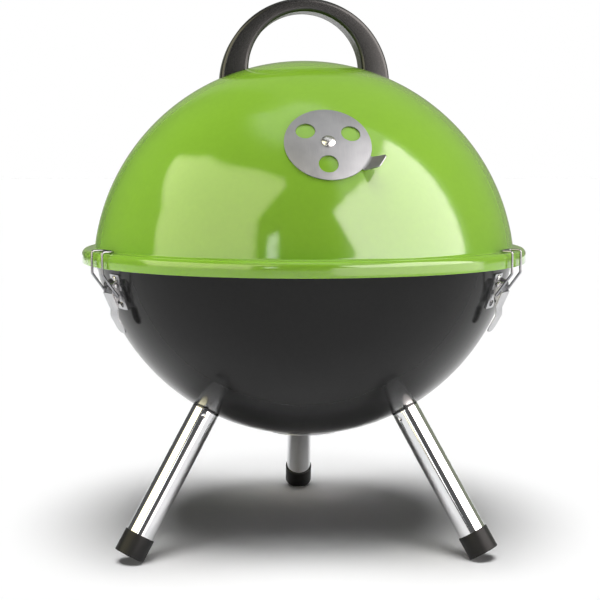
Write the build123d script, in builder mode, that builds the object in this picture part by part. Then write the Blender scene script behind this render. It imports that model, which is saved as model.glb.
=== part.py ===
from build123d import *
from math import acos, cos, degrees, radians, sin, sqrt
import os

# Portable kettle charcoal grill: a spherical bowl on three splayed tube legs, and a spherical lid with a
# flanged rim that three toggle latches hold down. Millimetres, +Z up, origin on the floor under the
# kettle's axis, and the front of the grill faces -Y.

# Bowl and lid pressings
shell_radius = 169.0  # outer radius of both spheres
shell_wall = 0.8
ground_clearance = 86.0  # floor to the lowest point of the bowl
bowl_depth = 153.4  # lowest point of the bowl to the top of its rim
bead_radius = 2.0  # edge of the bowl, rolled round a wire
lid_depth = 145.0  # flange to the top of the dome
lid_seat_gap = 0.3  # lid flange above the bowl's rim
flange_overhang = 8.5  # flange outside the spheres
flange_depth = 13.5
flange_shoulder = 4.5
flange_root = 3.0  # fillet between dome and flange
lid_turn = 5.4  # how far the lid was put on turned, in degrees
seat_gap = 0.05  # between pieces that are screwed or riveted together

# Vents: a dished disc that turns on a rivet over three holes, on the lid and under the bowl
lid_vent_angle = 37.2  # above level, seen from the lid's centre
vent_holes = 3
vent_hole_radius = 7.0
vent_ring_radius = 18.5
lid_disc_phase = 26.0  # first hole of the lid's disc, from level towards the top
bowl_disc_phase = 60.0
damper_radius = 31.0
damper_sheet = 0.8
damper_gap = 0.3
lid_tab_angle = -32.0
bowl_tab_angle = 0.0
tab_width = 12.5
tab_run = 5.0
tab_height = 7.5
tab_bend_angle = 52.0
tab_bend_radius = 1.6
vent_rivet_radius = 2.5
vent_rivet_fit = 0.06
vent_head_radius = 4.9
vent_head_height = 1.9
vent_head_round = 1.5
vent_clinch_height = 1.4

# Lid handle: a moulded arch, thin at the top and wide at its feet
handle_inner_radius = 45.3
handle_inner_drop = 7.2  # centre of the inner arc below the top of the dome
handle_crown = 10.5  # thickness at the top of the arch
handle_spread = 11.8  # outer arc's centre below the inner one's, which widens the feet
handle_width = 25.0
handle_edge = 3.2
handle_screw_inset = 9.7  # screw outside the inner arc
screw_radius = 2.5
screw_length = 11.0
screw_head_radius = 4.2
screw_head_height = 2.8
washer_wall = 1.0
screw_washer_radius = 6.5

# Legs: chromed tubes that point at the centre of the bowl's sphere, with a screwed plug and a foot
leg_azimuths = {"rear": 90.0, "left": 210.0, "right": 330.0}
leg_splay_angle = 32.3  # from upright, in degrees
tube_radius = 11.0
tube_wall = 1.2
crimp_at = 6.0  # dimples that hold the plug, below the bowl
crimp_count = 3
crimp_start = 90.0  # first dimple, round the tube from level
crimp_radius = 1.6
crimp_depth = 0.6
plug_length = 20.0
plug_fit = 0.05
bolt_radius = 3.0
bolt_length = 15.0
bolt_head_radius = 5.6
bolt_head_height = 4.0
bolt_washer_radius = 9.0
foot_radius = 12.0
foot_length = 18.0
foot_floor = 5.0
foot_edge = 0.8
foot_flat = 1.0  # depth cut level where the foot stands

# Toggle latches: base on the bowl, lever on a pin, wire bail that hooks over the lid's flange.
# Places on a latch are given as (out of the bowl, up the bowl) from the lever's pin.
latch_drop = 23.9  # pin below the bowl's rim, at the bowl's skin
latch_sheet = 1.0
pin_out = 4.2
pin_radius = 1.25
pin_fit = 0.06
pin_head_radius = 1.9
pin_head_height = 0.8
base_width = 20.0
base_tab_width = 11.0
base_tab_round = 3.6
base_top = 8.2
base_shoulder_top = 4.0
base_shoulder_bottom = -13.0
base_bottom = -20.6
ear_radius = 2.6
ear_top = 3.6
ear_bottom = -5.4
lever_width = 16.4
lever_tab_width = 13.0
lever_play = 0.3
lever_ear_radius = 2.7
lever_crown_out = 9.1  # outer sheet of the lever, from its top edge to the finger tip
lever_crown_up = -5.1
lever_waist_out = 6.9
lever_waist_up = -17.4
lever_kick_out = 8.4
lever_kick_up = -23.7
lever_tip_out = 4.3
lever_tip_up = -38.0
lever_bend_radius = 2.4
lever_tip_round = 5.0
bail_wire = 0.95  # radius of the wire
bail_fit = 0.06
bail_end_out = 5.2
bail_end_up = -8.0
bail_end_reach = 0.5  # wire end past the lever's cheek
bail_side_gap = 0.6
bail_eye_radius = 2.4
bail_hook_gap = 0.45
bail_front_gap = 1.2
bail_drop = 4.0  # knee of the bail below the flange
bail_hook_reach = 6.9  # hook inside the flange's edge
bail_bend = 1.9
latch_rivet_radius = 1.6
latch_rivet_head_radius = 2.5
latch_rivet_head_height = 1.1
upper_rivet_up = 3.6
lower_rivet_up = -16.6

# Grates of round wire, and the brackets that carry the upper one
bracket_sheet = 1.2
bracket_width = 14.0
bracket_ledge = 15.0
bracket_top = 8.4  # ledge above the latch's pin
cooking_wall_gap = 3.3  # grate's ring to the bowl's wall
cooking_pitch = 13.0
cooking_rod_at = 55.0
charcoal_ring_radius = 115.0
charcoal_pitch = 15.0
charcoal_rod_at = 42.0
ring_wire = 2.5
bar_wire = 1.75
weld_depth = 0.5
grate_seat_gap = 0.3

# Worked out from the sizes above
bowl_centre = ground_clearance + shell_radius
rim_top = ground_clearance + bowl_depth
bead_height = rim_top - bead_radius
flange_top = rim_top + lid_seat_gap + shell_wall
lid_top = flange_top + lid_depth
lid_centre = lid_top - shell_radius
shell_inner = shell_radius - shell_wall
flange_radius = shell_radius + flange_overhang
latch_height = rim_top - latch_drop
handle_outer_drop = handle_inner_drop + handle_spread
handle_outer_radius = handle_inner_radius + handle_crown + handle_spread
handle_screw_reach = handle_inner_radius + handle_screw_inset


def dish(radius, reach):
    """How far a sphere falls away from its tangent plane at this reach."""
    return radius - sqrt(radius**2 - reach**2)


def shell_plane(centre, azimuth, elevation):
    """Plane that touches a shell from outside: z points out, x runs level round it, y runs up it."""
    turn, tilt = radians(azimuth), radians(elevation)
    out = Vector(cos(turn) * cos(tilt), sin(turn) * cos(tilt), sin(tilt))
    return Plane(Vector(0, 0, centre) + out * shell_radius, x_dir=(-sin(turn), cos(turn), 0), z_dir=out)


def side_plane(face):
    """Plane that cuts a shell upright: x points out of the shell, y runs up it."""
    return Plane(face.origin, x_dir=face.z_dir, z_dir=-face.x_dir)


def radial_point(azimuth, out, along, height):
    """Point at this distance out from the kettle's axis, and along the level tangent there."""
    turn = radians(azimuth)
    return Vector(out * cos(turn) - along * sin(turn), out * sin(turn) + along * cos(turn), height)


def on_latch(face, out, along, up):
    """Point on a latch, in the directions of its plane on the bowl."""
    return face.from_local_coords(Vector(along, up, out))


def save(piece, name, place=Location()):
    """Set a finished piece in its place, label it and write it."""
    placed = piece.part.moved(place)
    placed.label = name
    export_step(placed, f"parts/{name}.step")


os.makedirs("parts", exist_ok=True)

latch_elevation = 90 - degrees(acos((latch_height - bowl_centre) / shell_radius))
latch_faces = {side: shell_plane(bowl_centre, turn, latch_elevation) for side, turn in leg_azimuths.items()}
leg_faces = {side: shell_plane(bowl_centre, turn, leg_splay_angle - 90) for side, turn in leg_azimuths.items()}
lid_vent = shell_plane(lid_centre, lid_turn - 90, lid_vent_angle)
bowl_vent = shell_plane(bowl_centre, 0, -90)
screw_elevation = degrees(acos(handle_screw_reach / shell_radius))
screw_faces = [shell_plane(lid_centre, lid_turn + turn, screw_elevation) for turn in (0, 180)]


def rivet_face(side, up):
    """Plane on the bowl where a latch rivet goes through, this far up from the pin."""
    return shell_plane(bowl_centre, leg_azimuths[side], latch_elevation + degrees(up / shell_radius))


rivet_ups = (upper_rivet_up, lower_rivet_up)
rivet_faces = [rivet_face(side, up) for side in leg_azimuths for up in rivet_ups]
rivet_hole_radius = latch_rivet_radius + seat_gap
vent_half_turn = 180 / vent_holes  # turn that closes the vents

# Bowl: a spherical dish with a wired edge, pierced for the vent, the legs and the latches
bead_ring = sqrt(shell_inner**2 - (bowl_centre - bead_height) ** 2) + bead_radius
with BuildPart() as bowl_shell:
    with BuildSketch(Plane.XZ):
        with Locations((0, bowl_centre)):
            Circle(shell_radius)
            Circle(shell_inner, mode=Mode.SUBTRACT)
        with Locations((0, bead_height)):
            Rectangle(shell_radius, bowl_depth, align=(Align.MIN, Align.MAX), mode=Mode.INTERSECT)
        with Locations((bead_ring, bead_height)):
            Circle(bead_radius)
    revolve(axis=Axis.Z)
    with Locations(*leg_faces.values()):
        Hole(bolt_radius + seat_gap, depth=bolt_radius)
    with Locations(*rivet_faces):
        Hole(rivet_hole_radius, depth=bolt_radius)
    with Locations(bowl_vent):
        Hole(vent_rivet_radius + seat_gap, depth=vent_ring_radius)
        with PolarLocations(vent_ring_radius, vent_holes, bowl_disc_phase + vent_half_turn):
            Hole(vent_hole_radius, depth=vent_ring_radius)
save(bowl_shell, "bowl_shell")

# Lid: a dome whose edge turns out into a ledge and down into a skirt
dome_angle = degrees(acos((flange_top - lid_centre) / shell_radius))
with BuildPart() as lid_shell:
    with BuildSketch(Plane.XZ):
        with BuildLine() as lid_outside:
            dome = CenterArc((0, lid_centre), shell_radius, 90, -dome_angle)
            ledge = Line(dome @ 1, (flange_radius, flange_top))
            skirt = Line(ledge @ 1, (flange_radius, flange_top - flange_depth))
            fillet(lid_outside.vertices().sort_by_distance(ledge @ 1)[0], flange_shoulder)
            fillet(lid_outside.vertices().sort_by_distance(dome @ 1)[0], flange_root)
            offset(amount=shell_wall, side=Side.RIGHT)
        make_face()
    revolve(axis=Axis.Z)
    with Locations(lid_vent):
        Hole(vent_rivet_radius + seat_gap, depth=vent_ring_radius)
        with PolarLocations(vent_ring_radius, vent_holes, lid_disc_phase + vent_half_turn):
            Hole(vent_hole_radius, depth=vent_ring_radius)
    with Locations(*screw_faces):
        Hole(screw_radius + seat_gap, depth=screw_length)
save(lid_shell, "lid_shell")


def make_damper(face, phase, tab_angle, name):
    """Dished vent disc with its holes and a bent finger tab, made at the origin and set on its shell."""
    disc_outer = shell_radius + damper_gap + damper_sheet
    seam = radians(phase + vent_half_turn)  # between two holes, clear of the tab
    section = Plane((0, 0, 0), x_dir=(cos(seam), sin(seam), 0), z_dir=(sin(seam), -cos(seam), 0))
    slope = 90 - degrees(acos(damper_radius / disc_outer))
    start = 90 - degrees(acos(vent_rivet_radius / 2 / disc_outer))
    with BuildPart() as damper:
        with BuildSketch(section):
            with BuildLine() as upper_side:
                dished = CenterArc((0, -shell_radius), disc_outer, 90 - start, start - slope)
                run = PolarLine(dished @ 1, tab_run, -slope)
                PolarLine(run @ 1, tab_height, tab_bend_angle - slope)
                fillet(upper_side.vertices().sort_by_distance(run @ 1)[0], tab_bend_radius)
                offset(amount=damper_sheet, side=Side.RIGHT)
            make_face()
        revolve(axis=Axis.Z)
        with BuildSketch(Plane.XY.offset(-damper_radius)):
            Circle(damper_radius)
            with Locations(Rotation(0, 0, tab_angle)):
                Rectangle(2 * damper_radius, tab_width, align=(Align.MIN, Align.CENTER))
            Circle(vent_rivet_radius + vent_rivet_fit, mode=Mode.SUBTRACT)
            with PolarLocations(vent_ring_radius, vent_holes, phase):
                Circle(vent_hole_radius, mode=Mode.SUBTRACT)
        extrude(amount=2 * damper_radius, mode=Mode.INTERSECT)
    save(damper, name, face.location)


def make_vent_rivet(face, name):
    """Rivet that a damper turns on, headed outside and clinched inside the shell."""
    clinch_seat = shell_wall + dish(shell_inner, vent_head_radius) + seat_gap
    head_seat = damper_gap + damper_sheet + damper_gap
    with BuildPart() as rivet:
        with BuildSketch(face.offset(-clinch_seat - vent_clinch_height)):
            Circle(vent_head_radius)
        extrude(amount=vent_clinch_height)
        with BuildSketch(face.offset(-clinch_seat)):
            Circle(vent_rivet_radius)
        extrude(amount=clinch_seat + head_seat)
        with BuildSketch(face.offset(head_seat)):
            Circle(vent_head_radius)
        extrude(amount=vent_head_height)
        crown = rivet.edges().filter_by(GeomType.CIRCLE).sort_by(Axis(face.origin, face.z_dir))[-1]
        fillet(crown, vent_head_round)
    save(rivet, name)


make_damper(lid_vent, lid_disc_phase, lid_tab_angle, "lid_damper")
make_vent_rivet(lid_vent, "lid_vent_rivet")
make_damper(bowl_vent, bowl_disc_phase, bowl_tab_angle, "bottom_damper")
make_vent_rivet(bowl_vent, "bottom_vent_rivet")

# Handle: the crescent between two arcs, rounded along its edges and cut to sit on the dome
handle_turn = radians(lid_turn)
handle_plane = Plane((0, 0, lid_top), x_dir=(cos(handle_turn), sin(handle_turn), 0),
                     z_dir=(sin(handle_turn), -cos(handle_turn), 0))
with BuildPart() as lid_handle:
    with BuildSketch(handle_plane):
        with Locations((0, -handle_outer_drop)):
            Circle(handle_outer_radius)
        with Locations((0, -handle_inner_drop)):
            Circle(handle_inner_radius, mode=Mode.SUBTRACT)
        with Locations((0, -handle_outer_drop)):
            Rectangle(2 * handle_outer_radius, 2 * handle_outer_radius,
                      align=(Align.CENTER, Align.MIN), mode=Mode.INTERSECT)
    extrude(amount=handle_width / 2, both=True)
    fillet(lid_handle.edges().filter_by(GeomType.CIRCLE), handle_edge)
    with Locations((0, 0, lid_centre)):
        Sphere(shell_radius + seat_gap, mode=Mode.SUBTRACT)
    for face in screw_faces:
        with BuildSketch(face):
            Circle(screw_radius + seat_gap)
        extrude(amount=screw_length, mode=Mode.SUBTRACT)
save(lid_handle, "lid_handle")

screw_washer_seat = shell_wall + dish(shell_inner, screw_washer_radius) + seat_gap
with BuildPart() as handle_washers:
    for face in screw_faces:
        with BuildSketch(face.offset(-screw_washer_seat)):
            Circle(screw_washer_radius)
            Circle(screw_radius + seat_gap, mode=Mode.SUBTRACT)
        extrude(amount=-washer_wall)
save(handle_washers, "handle_washers")

screw_seat = screw_washer_seat + washer_wall
with BuildPart() as handle_screws:
    for face in screw_faces:
        with BuildSketch(face.offset(-screw_seat)):
            Circle(screw_head_radius)
        extrude(amount=-screw_head_height)
        with BuildSketch(face.offset(-screw_seat)):
            Circle(screw_radius)
        extrude(amount=screw_seat + screw_length - screw_radius)
save(handle_screws, "handle_screws")

# Legs: each foot is as far out as it takes to reach the floor
splay = radians(leg_splay_angle)
foot_end = (bowl_centre + foot_flat - foot_radius * sin(splay)) / cos(splay) - shell_radius
tube_end = foot_end - foot_floor
tube_inner = tube_radius - tube_wall
for side, face in leg_faces.items():
    leg_axis = Axis(face.origin, face.z_dir)
    with BuildPart() as leg_tube:
        with BuildSketch(face.offset(-dish(shell_radius, tube_radius))):
            Circle(tube_radius)
            Circle(tube_inner, mode=Mode.SUBTRACT)
        extrude(amount=tube_end + dish(shell_radius, tube_radius))
        with Locations((0, 0, bowl_centre)):
            Sphere(shell_radius + seat_gap, mode=Mode.SUBTRACT)
        with Locations(face.offset(crimp_at)):
            with PolarLocations(tube_radius + crimp_radius - crimp_depth, crimp_count, crimp_start):
                Sphere(crimp_radius, mode=Mode.SUBTRACT)
    save(leg_tube, f"leg_tube_{side}")

    with BuildPart() as leg_plug:
        with BuildSketch(face.offset(-dish(shell_radius, tube_inner))):
            Circle(tube_inner - plug_fit)
            Circle(bolt_radius + seat_gap, mode=Mode.SUBTRACT)
        extrude(amount=plug_length)
        with Locations((0, 0, bowl_centre)):
            Sphere(shell_radius + seat_gap, mode=Mode.SUBTRACT)
    save(leg_plug, f"leg_plug_{side}")

    with BuildPart() as foot_cap:
        with BuildSketch(face.offset(foot_end - foot_length)):
            Circle(foot_radius)
        extrude(amount=foot_length)
        fillet(foot_cap.edges().filter_by(GeomType.CIRCLE).sort_by(leg_axis)[-1], foot_edge)
        with BuildSketch(face.offset(tube_end + seat_gap)):
            Circle(tube_radius + plug_fit)
        extrude(amount=-foot_length, mode=Mode.SUBTRACT)
        split(bisect_by=Plane.XY, keep=Keep.TOP)
    save(foot_cap, f"foot_cap_{side}")

bolt_washer_seat = shell_wall + dish(shell_inner, bolt_washer_radius) + seat_gap
with BuildPart() as leg_washers:
    for face in leg_faces.values():
        with BuildSketch(face.offset(-bolt_washer_seat)):
            Circle(bolt_washer_radius)
            Circle(bolt_radius + seat_gap, mode=Mode.SUBTRACT)
        extrude(amount=-washer_wall)
save(leg_washers, "leg_washers")

bolt_seat = bolt_washer_seat + washer_wall
with BuildPart() as leg_bolts:
    for face in leg_faces.values():
        with BuildSketch(face.offset(-bolt_seat)):
            RegularPolygon(bolt_head_radius, 6)
        extrude(amount=-bolt_head_height)
        with BuildSketch(face.offset(-bolt_seat)):
            Circle(bolt_radius)
        extrude(amount=bolt_seat + bolt_length)
save(leg_bolts, "leg_bolts")

# Latches, from the bowl outwards
base_inner = shell_radius + seat_gap
base_outer = base_inner + latch_sheet
ear_outside = lever_width / 2 - latch_sheet - lever_play
bail_along = lever_width / 2 + bail_side_gap + bail_wire
pin_half = lever_width / 2 + lever_play
plate_points = [(lever_crown_out, lever_crown_up), (lever_waist_out, lever_waist_up),
                (lever_kick_out, lever_kick_up), (lever_tip_out, lever_tip_up)]


def make_latch_base(side, face):
    """Plate pressed to the bowl's curve, with a rivet tab at each end and two ears for the pin."""
    cut = side_plane(face)
    with BuildPart() as base:
        with BuildSketch(face.offset(-base_width)):
            with Locations((0, base_bottom)):
                Rectangle(base_tab_width, base_top - base_bottom, align=(Align.CENTER, Align.MIN))
            fillet(vertices(), base_tab_round)
            with Locations((0, base_shoulder_bottom)):
                Rectangle(base_width, base_shoulder_top - base_shoulder_bottom,
                          align=(Align.CENTER, Align.MIN))
        extrude(amount=2 * base_width)
        with Locations((0, 0, bowl_centre)):
            Sphere(base_outer, mode=Mode.INTERSECT)
            Sphere(base_inner, mode=Mode.SUBTRACT)
        for start in (ear_outside - latch_sheet, -ear_outside):
            with BuildSketch(cut.offset(start)):
                with Locations((pin_out, 0)):
                    Circle(ear_radius)
                with BuildLine():
                    Line((latch_sheet / 2, ear_bottom), (latch_sheet / 2, ear_top))
                make_hull()
                with Locations((pin_out, 0)):
                    Circle(pin_radius + seat_gap, mode=Mode.SUBTRACT)
            extrude(amount=latch_sheet)
        with Locations(*[rivet_face(side, up).offset(base_width) for up in rivet_ups]):
            Hole(rivet_hole_radius, depth=2 * base_width)
    save(base, f"latch_base_{side}")


def make_latch_pin(side, face):
    """Pin through the ears of the base and the cheeks of the lever, with a head at each end."""
    cut = side_plane(face)
    with BuildPart() as pin:
        with BuildSketch(cut):
            with Locations((pin_out, 0)):
                Circle(pin_radius)
        extrude(amount=pin_half, both=True)
        for start, way in ((pin_half, 1), (-pin_half, -1)):
            with BuildSketch(cut.offset(start)):
                with Locations((pin_out, 0)):
                    Circle(pin_head_radius)
            extrude(amount=way * pin_head_height)
    save(pin, f"latch_pin_{side}")


def make_latch_lever(side, face):
    """Folded lever: a kicked finger plate between two cheeks that carry the pin and the bail."""
    cut = side_plane(face)
    with BuildPart() as lever:
        with BuildSketch(cut):
            with BuildLine():
                FilletPolyline(plate_points, radius=lever_bend_radius)
                offset(amount=latch_sheet, side=Side.RIGHT)
            make_face()
        extrude(amount=lever_width / 2, both=True)
        with BuildSketch(face):
            with Locations((0, lever_tip_up)):
                Rectangle(lever_tab_width, lever_crown_up - lever_tip_up, align=(Align.CENTER, Align.MIN))
            fillet(vertices().group_by(Axis.Y)[0], lever_tip_round)
            with Locations((0, lever_waist_up)):
                Rectangle(lever_width, lever_crown_up - lever_waist_up, align=(Align.CENTER, Align.MIN))
        extrude(amount=2 * lever_crown_out, both=True, mode=Mode.INTERSECT)
        for start in (lever_width / 2 - latch_sheet, -lever_width / 2):
            with BuildSketch(cut.offset(start)):
                with Locations((pin_out, 0)):
                    Circle(lever_ear_radius)
                with Locations((bail_end_out, bail_end_up)):
                    Circle(bail_eye_radius)
                with BuildLine():
                    inset = latch_sheet / 2
                    Line((lever_crown_out - inset, lever_crown_up), (lever_waist_out - inset, lever_waist_up))
                make_hull()
                with Locations((pin_out, 0)):
                    Circle(pin_radius + pin_fit, mode=Mode.SUBTRACT)
                with Locations((bail_end_out, bail_end_up)):
                    Circle(bail_wire + bail_fit, mode=Mode.SUBTRACT)
            extrude(amount=latch_sheet)
    save(lever, f"latch_lever_{side}")


def make_latch_bail(side, face):
    """Wire loop whose ends turn in the lever and whose top hooks over the lid's flange."""
    turn = leg_azimuths[side]
    end_along = lever_width / 2 - latch_sheet - bail_end_reach
    front = flange_radius + bail_front_gap + bail_wire
    hook = flange_radius - bail_hook_reach
    top = flange_top + bail_hook_gap + bail_wire
    knee = flange_top - flange_depth - bail_drop
    half = [
        on_latch(face, bail_end_out, end_along, bail_end_up),
        on_latch(face, bail_end_out, bail_along, bail_end_up),
        radial_point(turn, front, bail_along, knee),
        radial_point(turn, front, bail_along, top),
        radial_point(turn, hook, bail_along, top),
    ]
    other_half = [
        radial_point(turn, hook, -bail_along, top),
        radial_point(turn, front, -bail_along, top),
        radial_point(turn, front, -bail_along, knee),
        on_latch(face, bail_end_out, -bail_along, bail_end_up),
        on_latch(face, bail_end_out, -end_along, bail_end_up),
    ]
    end_bend = bail_side_gap + bail_wire / 2  # starts outside the lever's cheek
    bends = [end_bend, bail_bend, bail_bend, bail_bend]
    with BuildPart() as bail:
        with BuildLine() as route:
            FilletPolyline(half + other_half, radius=bends + bends[::-1])
        with BuildSketch(Plane(route.wire() @ 0, z_dir=route.wire() % 0)):
            Circle(bail_wire)
        sweep(path=route.wire())
    save(bail, f"latch_bail_{side}")


# Bracket inside the bowl, behind each latch and on the same rivets
bracket_outer = shell_inner - seat_gap
bracket_inner = bracket_outer - bracket_sheet
ledge_top = latch_height + bracket_top


def make_grate_bracket(side, face):
    """Strip pressed to the inside of the bowl, folded level at the top to carry the cooking grate."""
    turn = leg_azimuths[side]
    across = Plane((0, 0, 0), x_dir=radial_point(turn, 1, 0, 0), z_dir=-radial_point(turn, 0, 1, 0))
    wall_reach = sqrt(bracket_inner**2 - (bowl_centre - ledge_top) ** 2)
    with BuildPart() as bracket:
        with BuildSketch(face.offset(-base_width)):
            with Locations((0, base_bottom)):
                Rectangle(bracket_width, bracket_top - base_bottom, align=(Align.CENTER, Align.MIN))
        extrude(amount=2 * base_width)
        with Locations((0, 0, bowl_centre)):
            Sphere(bracket_outer, mode=Mode.INTERSECT)
            Sphere(bracket_inner, mode=Mode.SUBTRACT)
        with BuildSketch(across):
            with Locations((wall_reach + bracket_sheet / 2, ledge_top)):
                Rectangle(bracket_ledge, bracket_sheet, align=(Align.MAX, Align.MAX))
        extrude(amount=bracket_width / 2, both=True)
        with Locations(*[rivet_face(side, up) for up in rivet_ups]):
            Hole(rivet_hole_radius, depth=base_width)
    save(bracket, f"grate_bracket_{side}")


for side, face in latch_faces.items():
    make_latch_base(side, face)
    make_latch_pin(side, face)
    make_latch_lever(side, face)
    make_latch_bail(side, face)
    make_grate_bracket(side, face)

rivet_foot = shell_wall + seat_gap + bracket_sheet + dish(bracket_inner, latch_rivet_head_radius) + seat_gap
rivet_crown = seat_gap + latch_sheet + seat_gap
with BuildPart() as latch_rivets:
    for face in rivet_faces:
        with BuildSketch(face.offset(-rivet_foot)):
            Circle(latch_rivet_radius)
        extrude(amount=rivet_foot + rivet_crown)
        with BuildSketch(face.offset(-rivet_foot)):
            Circle(latch_rivet_head_radius)
        extrude(amount=-latch_rivet_head_height)
        with BuildSketch(face.offset(rivet_crown)):
            Circle(latch_rivet_head_radius)
        extrude(amount=latch_rivet_head_height)
save(latch_rivets, "latch_rivets")


def make_grate(ring_radius, height, pitch, rod_at, name):
    """Wire grate: a ring, bars from front to back in its plane, and two rods welded under them."""
    steps = int(ring_radius / pitch - 0.5)
    rod_height = height - bar_wire - ring_wire + weld_depth
    rod_reach = sqrt(ring_radius**2 - rod_at**2) - 2 * ring_wire
    with BuildPart() as grate:
        with BuildSketch(Plane.XZ):
            with Locations((ring_radius, height)):
                Circle(ring_wire)
        revolve(axis=Axis.Z)
        for step in range(-steps, steps + 1):
            reach = sqrt(ring_radius**2 - (step * pitch) ** 2)
            with Locations((step * pitch, 0, height)):
                Cylinder(bar_wire, 2 * reach, rotation=(90, 0, 0))
        for way in (-1, 1):
            with Locations((0, way * rod_at, rod_height)):
                Cylinder(ring_wire, 2 * rod_reach, rotation=(0, 90, 0))
    save(grate, name)


cooking_height = ledge_top + grate_seat_gap + ring_wire
cooking_reach = sqrt(shell_inner**2 - (bowl_centre - cooking_height) ** 2)
cooking_ring_radius = cooking_reach - cooking_wall_gap - ring_wire
charcoal_seat = shell_inner - ring_wire - grate_seat_gap
charcoal_height = bowl_centre - sqrt(charcoal_seat**2 - charcoal_ring_radius**2)
make_grate(cooking_ring_radius, cooking_height, cooking_pitch, cooking_rod_at, "cooking_grate")
make_grate(charcoal_ring_radius, charcoal_height, charcoal_pitch, charcoal_rod_at, "charcoal_grate")
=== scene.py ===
"""Kettle charcoal grill: an enamelled kettle with a flanged lid, chromed legs and toggle latches.

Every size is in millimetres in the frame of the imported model, and becomes metres when a mesh is made.
Shells, sheet parts and turned parts are modelled from their own sections and outlines, and Geometry Nodes
make the wires, the grates and the fasteners that repeat.
"""

import logging
from collections.abc import Callable, Sequence
from dataclasses import dataclass, field
from enum import Enum
from math import acos, asin, atan2, ceil, cos, degrees, dist, hypot, pi, radians, sin, sqrt, tan

import bmesh
import bpy
from bmesh.types import BMEdge, BMesh
from bpy.types import GeometryNodeTree, Material, Node, NodeSocket, NodeTree, Object
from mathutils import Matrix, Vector
from mathutils.geometry import convex_hull_2d, delaunay_2d_cdt

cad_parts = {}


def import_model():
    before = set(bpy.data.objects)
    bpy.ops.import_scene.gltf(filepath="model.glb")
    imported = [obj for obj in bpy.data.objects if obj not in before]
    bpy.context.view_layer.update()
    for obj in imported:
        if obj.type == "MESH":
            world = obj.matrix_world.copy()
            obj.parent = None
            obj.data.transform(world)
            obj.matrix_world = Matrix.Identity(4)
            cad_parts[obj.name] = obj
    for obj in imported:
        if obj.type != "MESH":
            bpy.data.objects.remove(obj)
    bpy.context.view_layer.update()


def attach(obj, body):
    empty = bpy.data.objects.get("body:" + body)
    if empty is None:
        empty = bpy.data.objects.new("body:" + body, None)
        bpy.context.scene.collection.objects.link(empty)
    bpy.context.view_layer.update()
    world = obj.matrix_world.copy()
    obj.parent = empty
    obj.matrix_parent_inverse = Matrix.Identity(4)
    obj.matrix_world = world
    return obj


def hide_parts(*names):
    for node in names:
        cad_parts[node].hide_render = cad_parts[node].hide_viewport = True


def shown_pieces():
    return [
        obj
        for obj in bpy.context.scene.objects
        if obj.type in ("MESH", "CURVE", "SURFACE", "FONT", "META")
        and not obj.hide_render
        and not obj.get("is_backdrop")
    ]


LOG = logging.getLogger("kettle_grill")
MM = 0.001

Point2 = tuple[float, float]
Point3 = tuple[float, float, float]


class Side(Enum):
    """Bearing of each leg, and of the latch above it, in degrees from +X."""

    REAR = 90.0
    LEFT = 210.0
    RIGHT = 330.0

    @property
    def tag(self) -> str:
        """Name of the side, as the nodes end in it."""
        return self.name.lower()


@dataclass(frozen=True)
class Kettle:
    """Sizes that bowl, lid and what sits on them share."""

    shell_radius: float = 169.0
    wall: float = 0.8
    bowl_centre: float = 255.0
    rim_top: float = 237.1
    bead_radius: float = 2.0
    flange_top: float = 238.2
    flange_radius: float = 177.5
    flange_depth: float = 11.2
    flange_shoulder: float = 4.5
    flange_root: float = 2.0
    lid_top: float = 385.5
    lid_turn: float = 5.4
    lid_vent_angle: float = 37.2
    latch_drop: float = 21.6
    rivet_radius: float = 1.6
    rivet_ups: tuple[float, float] = (3.6, -16.6)
    bracket_sheet: float = 1.2
    leg_splay: float = 32.3
    bolt_radius: float = 3.0
    seat_gap: float = 0.05

    @property
    def lid_centre(self) -> float:
        """Height of the centre of the lid's sphere."""
        return self.lid_top - self.shell_radius

    @property
    def inner_radius(self) -> float:
        """Inside radius of both spheres."""
        return self.shell_radius - self.wall

    @property
    def latch_angle(self) -> float:
        """Elevation of the latches' pins, seen from the centre of the bowl's sphere."""
        return -degrees(asin((self.bowl_centre - self.rim_top + self.latch_drop) / self.shell_radius))


KETTLE = Kettle()


@dataclass(frozen=True)
class Spot:
    """A place with its own directions: x and y lie in its surface, z points out of it."""

    origin: Vector
    x: Vector
    y: Vector
    z: Vector

    def at(self, x: float, y: float, z: float = 0.0) -> Vector:
        """Point of the grill's frame at these distances along the spot's own directions."""
        return self.origin + self.x * x + self.y * y + self.z * z


UPRIGHT = Spot(Vector((0, 0, 0)), Vector((1, 0, 0)), Vector((0, 1, 0)), Vector((0, 0, 1)))


def shell_spot(centre: float, azimuth: float, elevation: float) -> Spot:
    """Spot on the skin of one of the spheres.

    Args:
        centre: Height of the sphere's centre.
        azimuth: Bearing in degrees from +X.
        elevation: Degrees above level.

    Returns:
        The spot, with x level, y up the skin and z out of it.
    """
    turn, tilt = radians(azimuth), radians(elevation)
    z = Vector((cos(turn) * cos(tilt), sin(turn) * cos(tilt), sin(tilt)))
    x = Vector((-sin(turn), cos(turn), 0.0))
    return Spot(Vector((0, 0, centre)) + z * KETTLE.shell_radius, x, z.cross(x), z)


def latch_spot(side: Side) -> Spot:
    """Where a latch's pin stands over the bowl."""
    return shell_spot(KETTLE.bowl_centre, side.value, KETTLE.latch_angle)


def rivet_spots(side: Side) -> list[Spot]:
    """Where a latch's two rivets go through the bowl."""
    tilts = [KETTLE.latch_angle + degrees(up / KETTLE.shell_radius) for up in KETTLE.rivet_ups]
    return [shell_spot(KETTLE.bowl_centre, side.value, tilt) for tilt in tilts]


def dish(radius: float, reach: float) -> float:
    """How far a sphere falls away from its tangent plane at this reach."""
    return radius - sqrt(radius ** 2 - reach ** 2)


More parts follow.
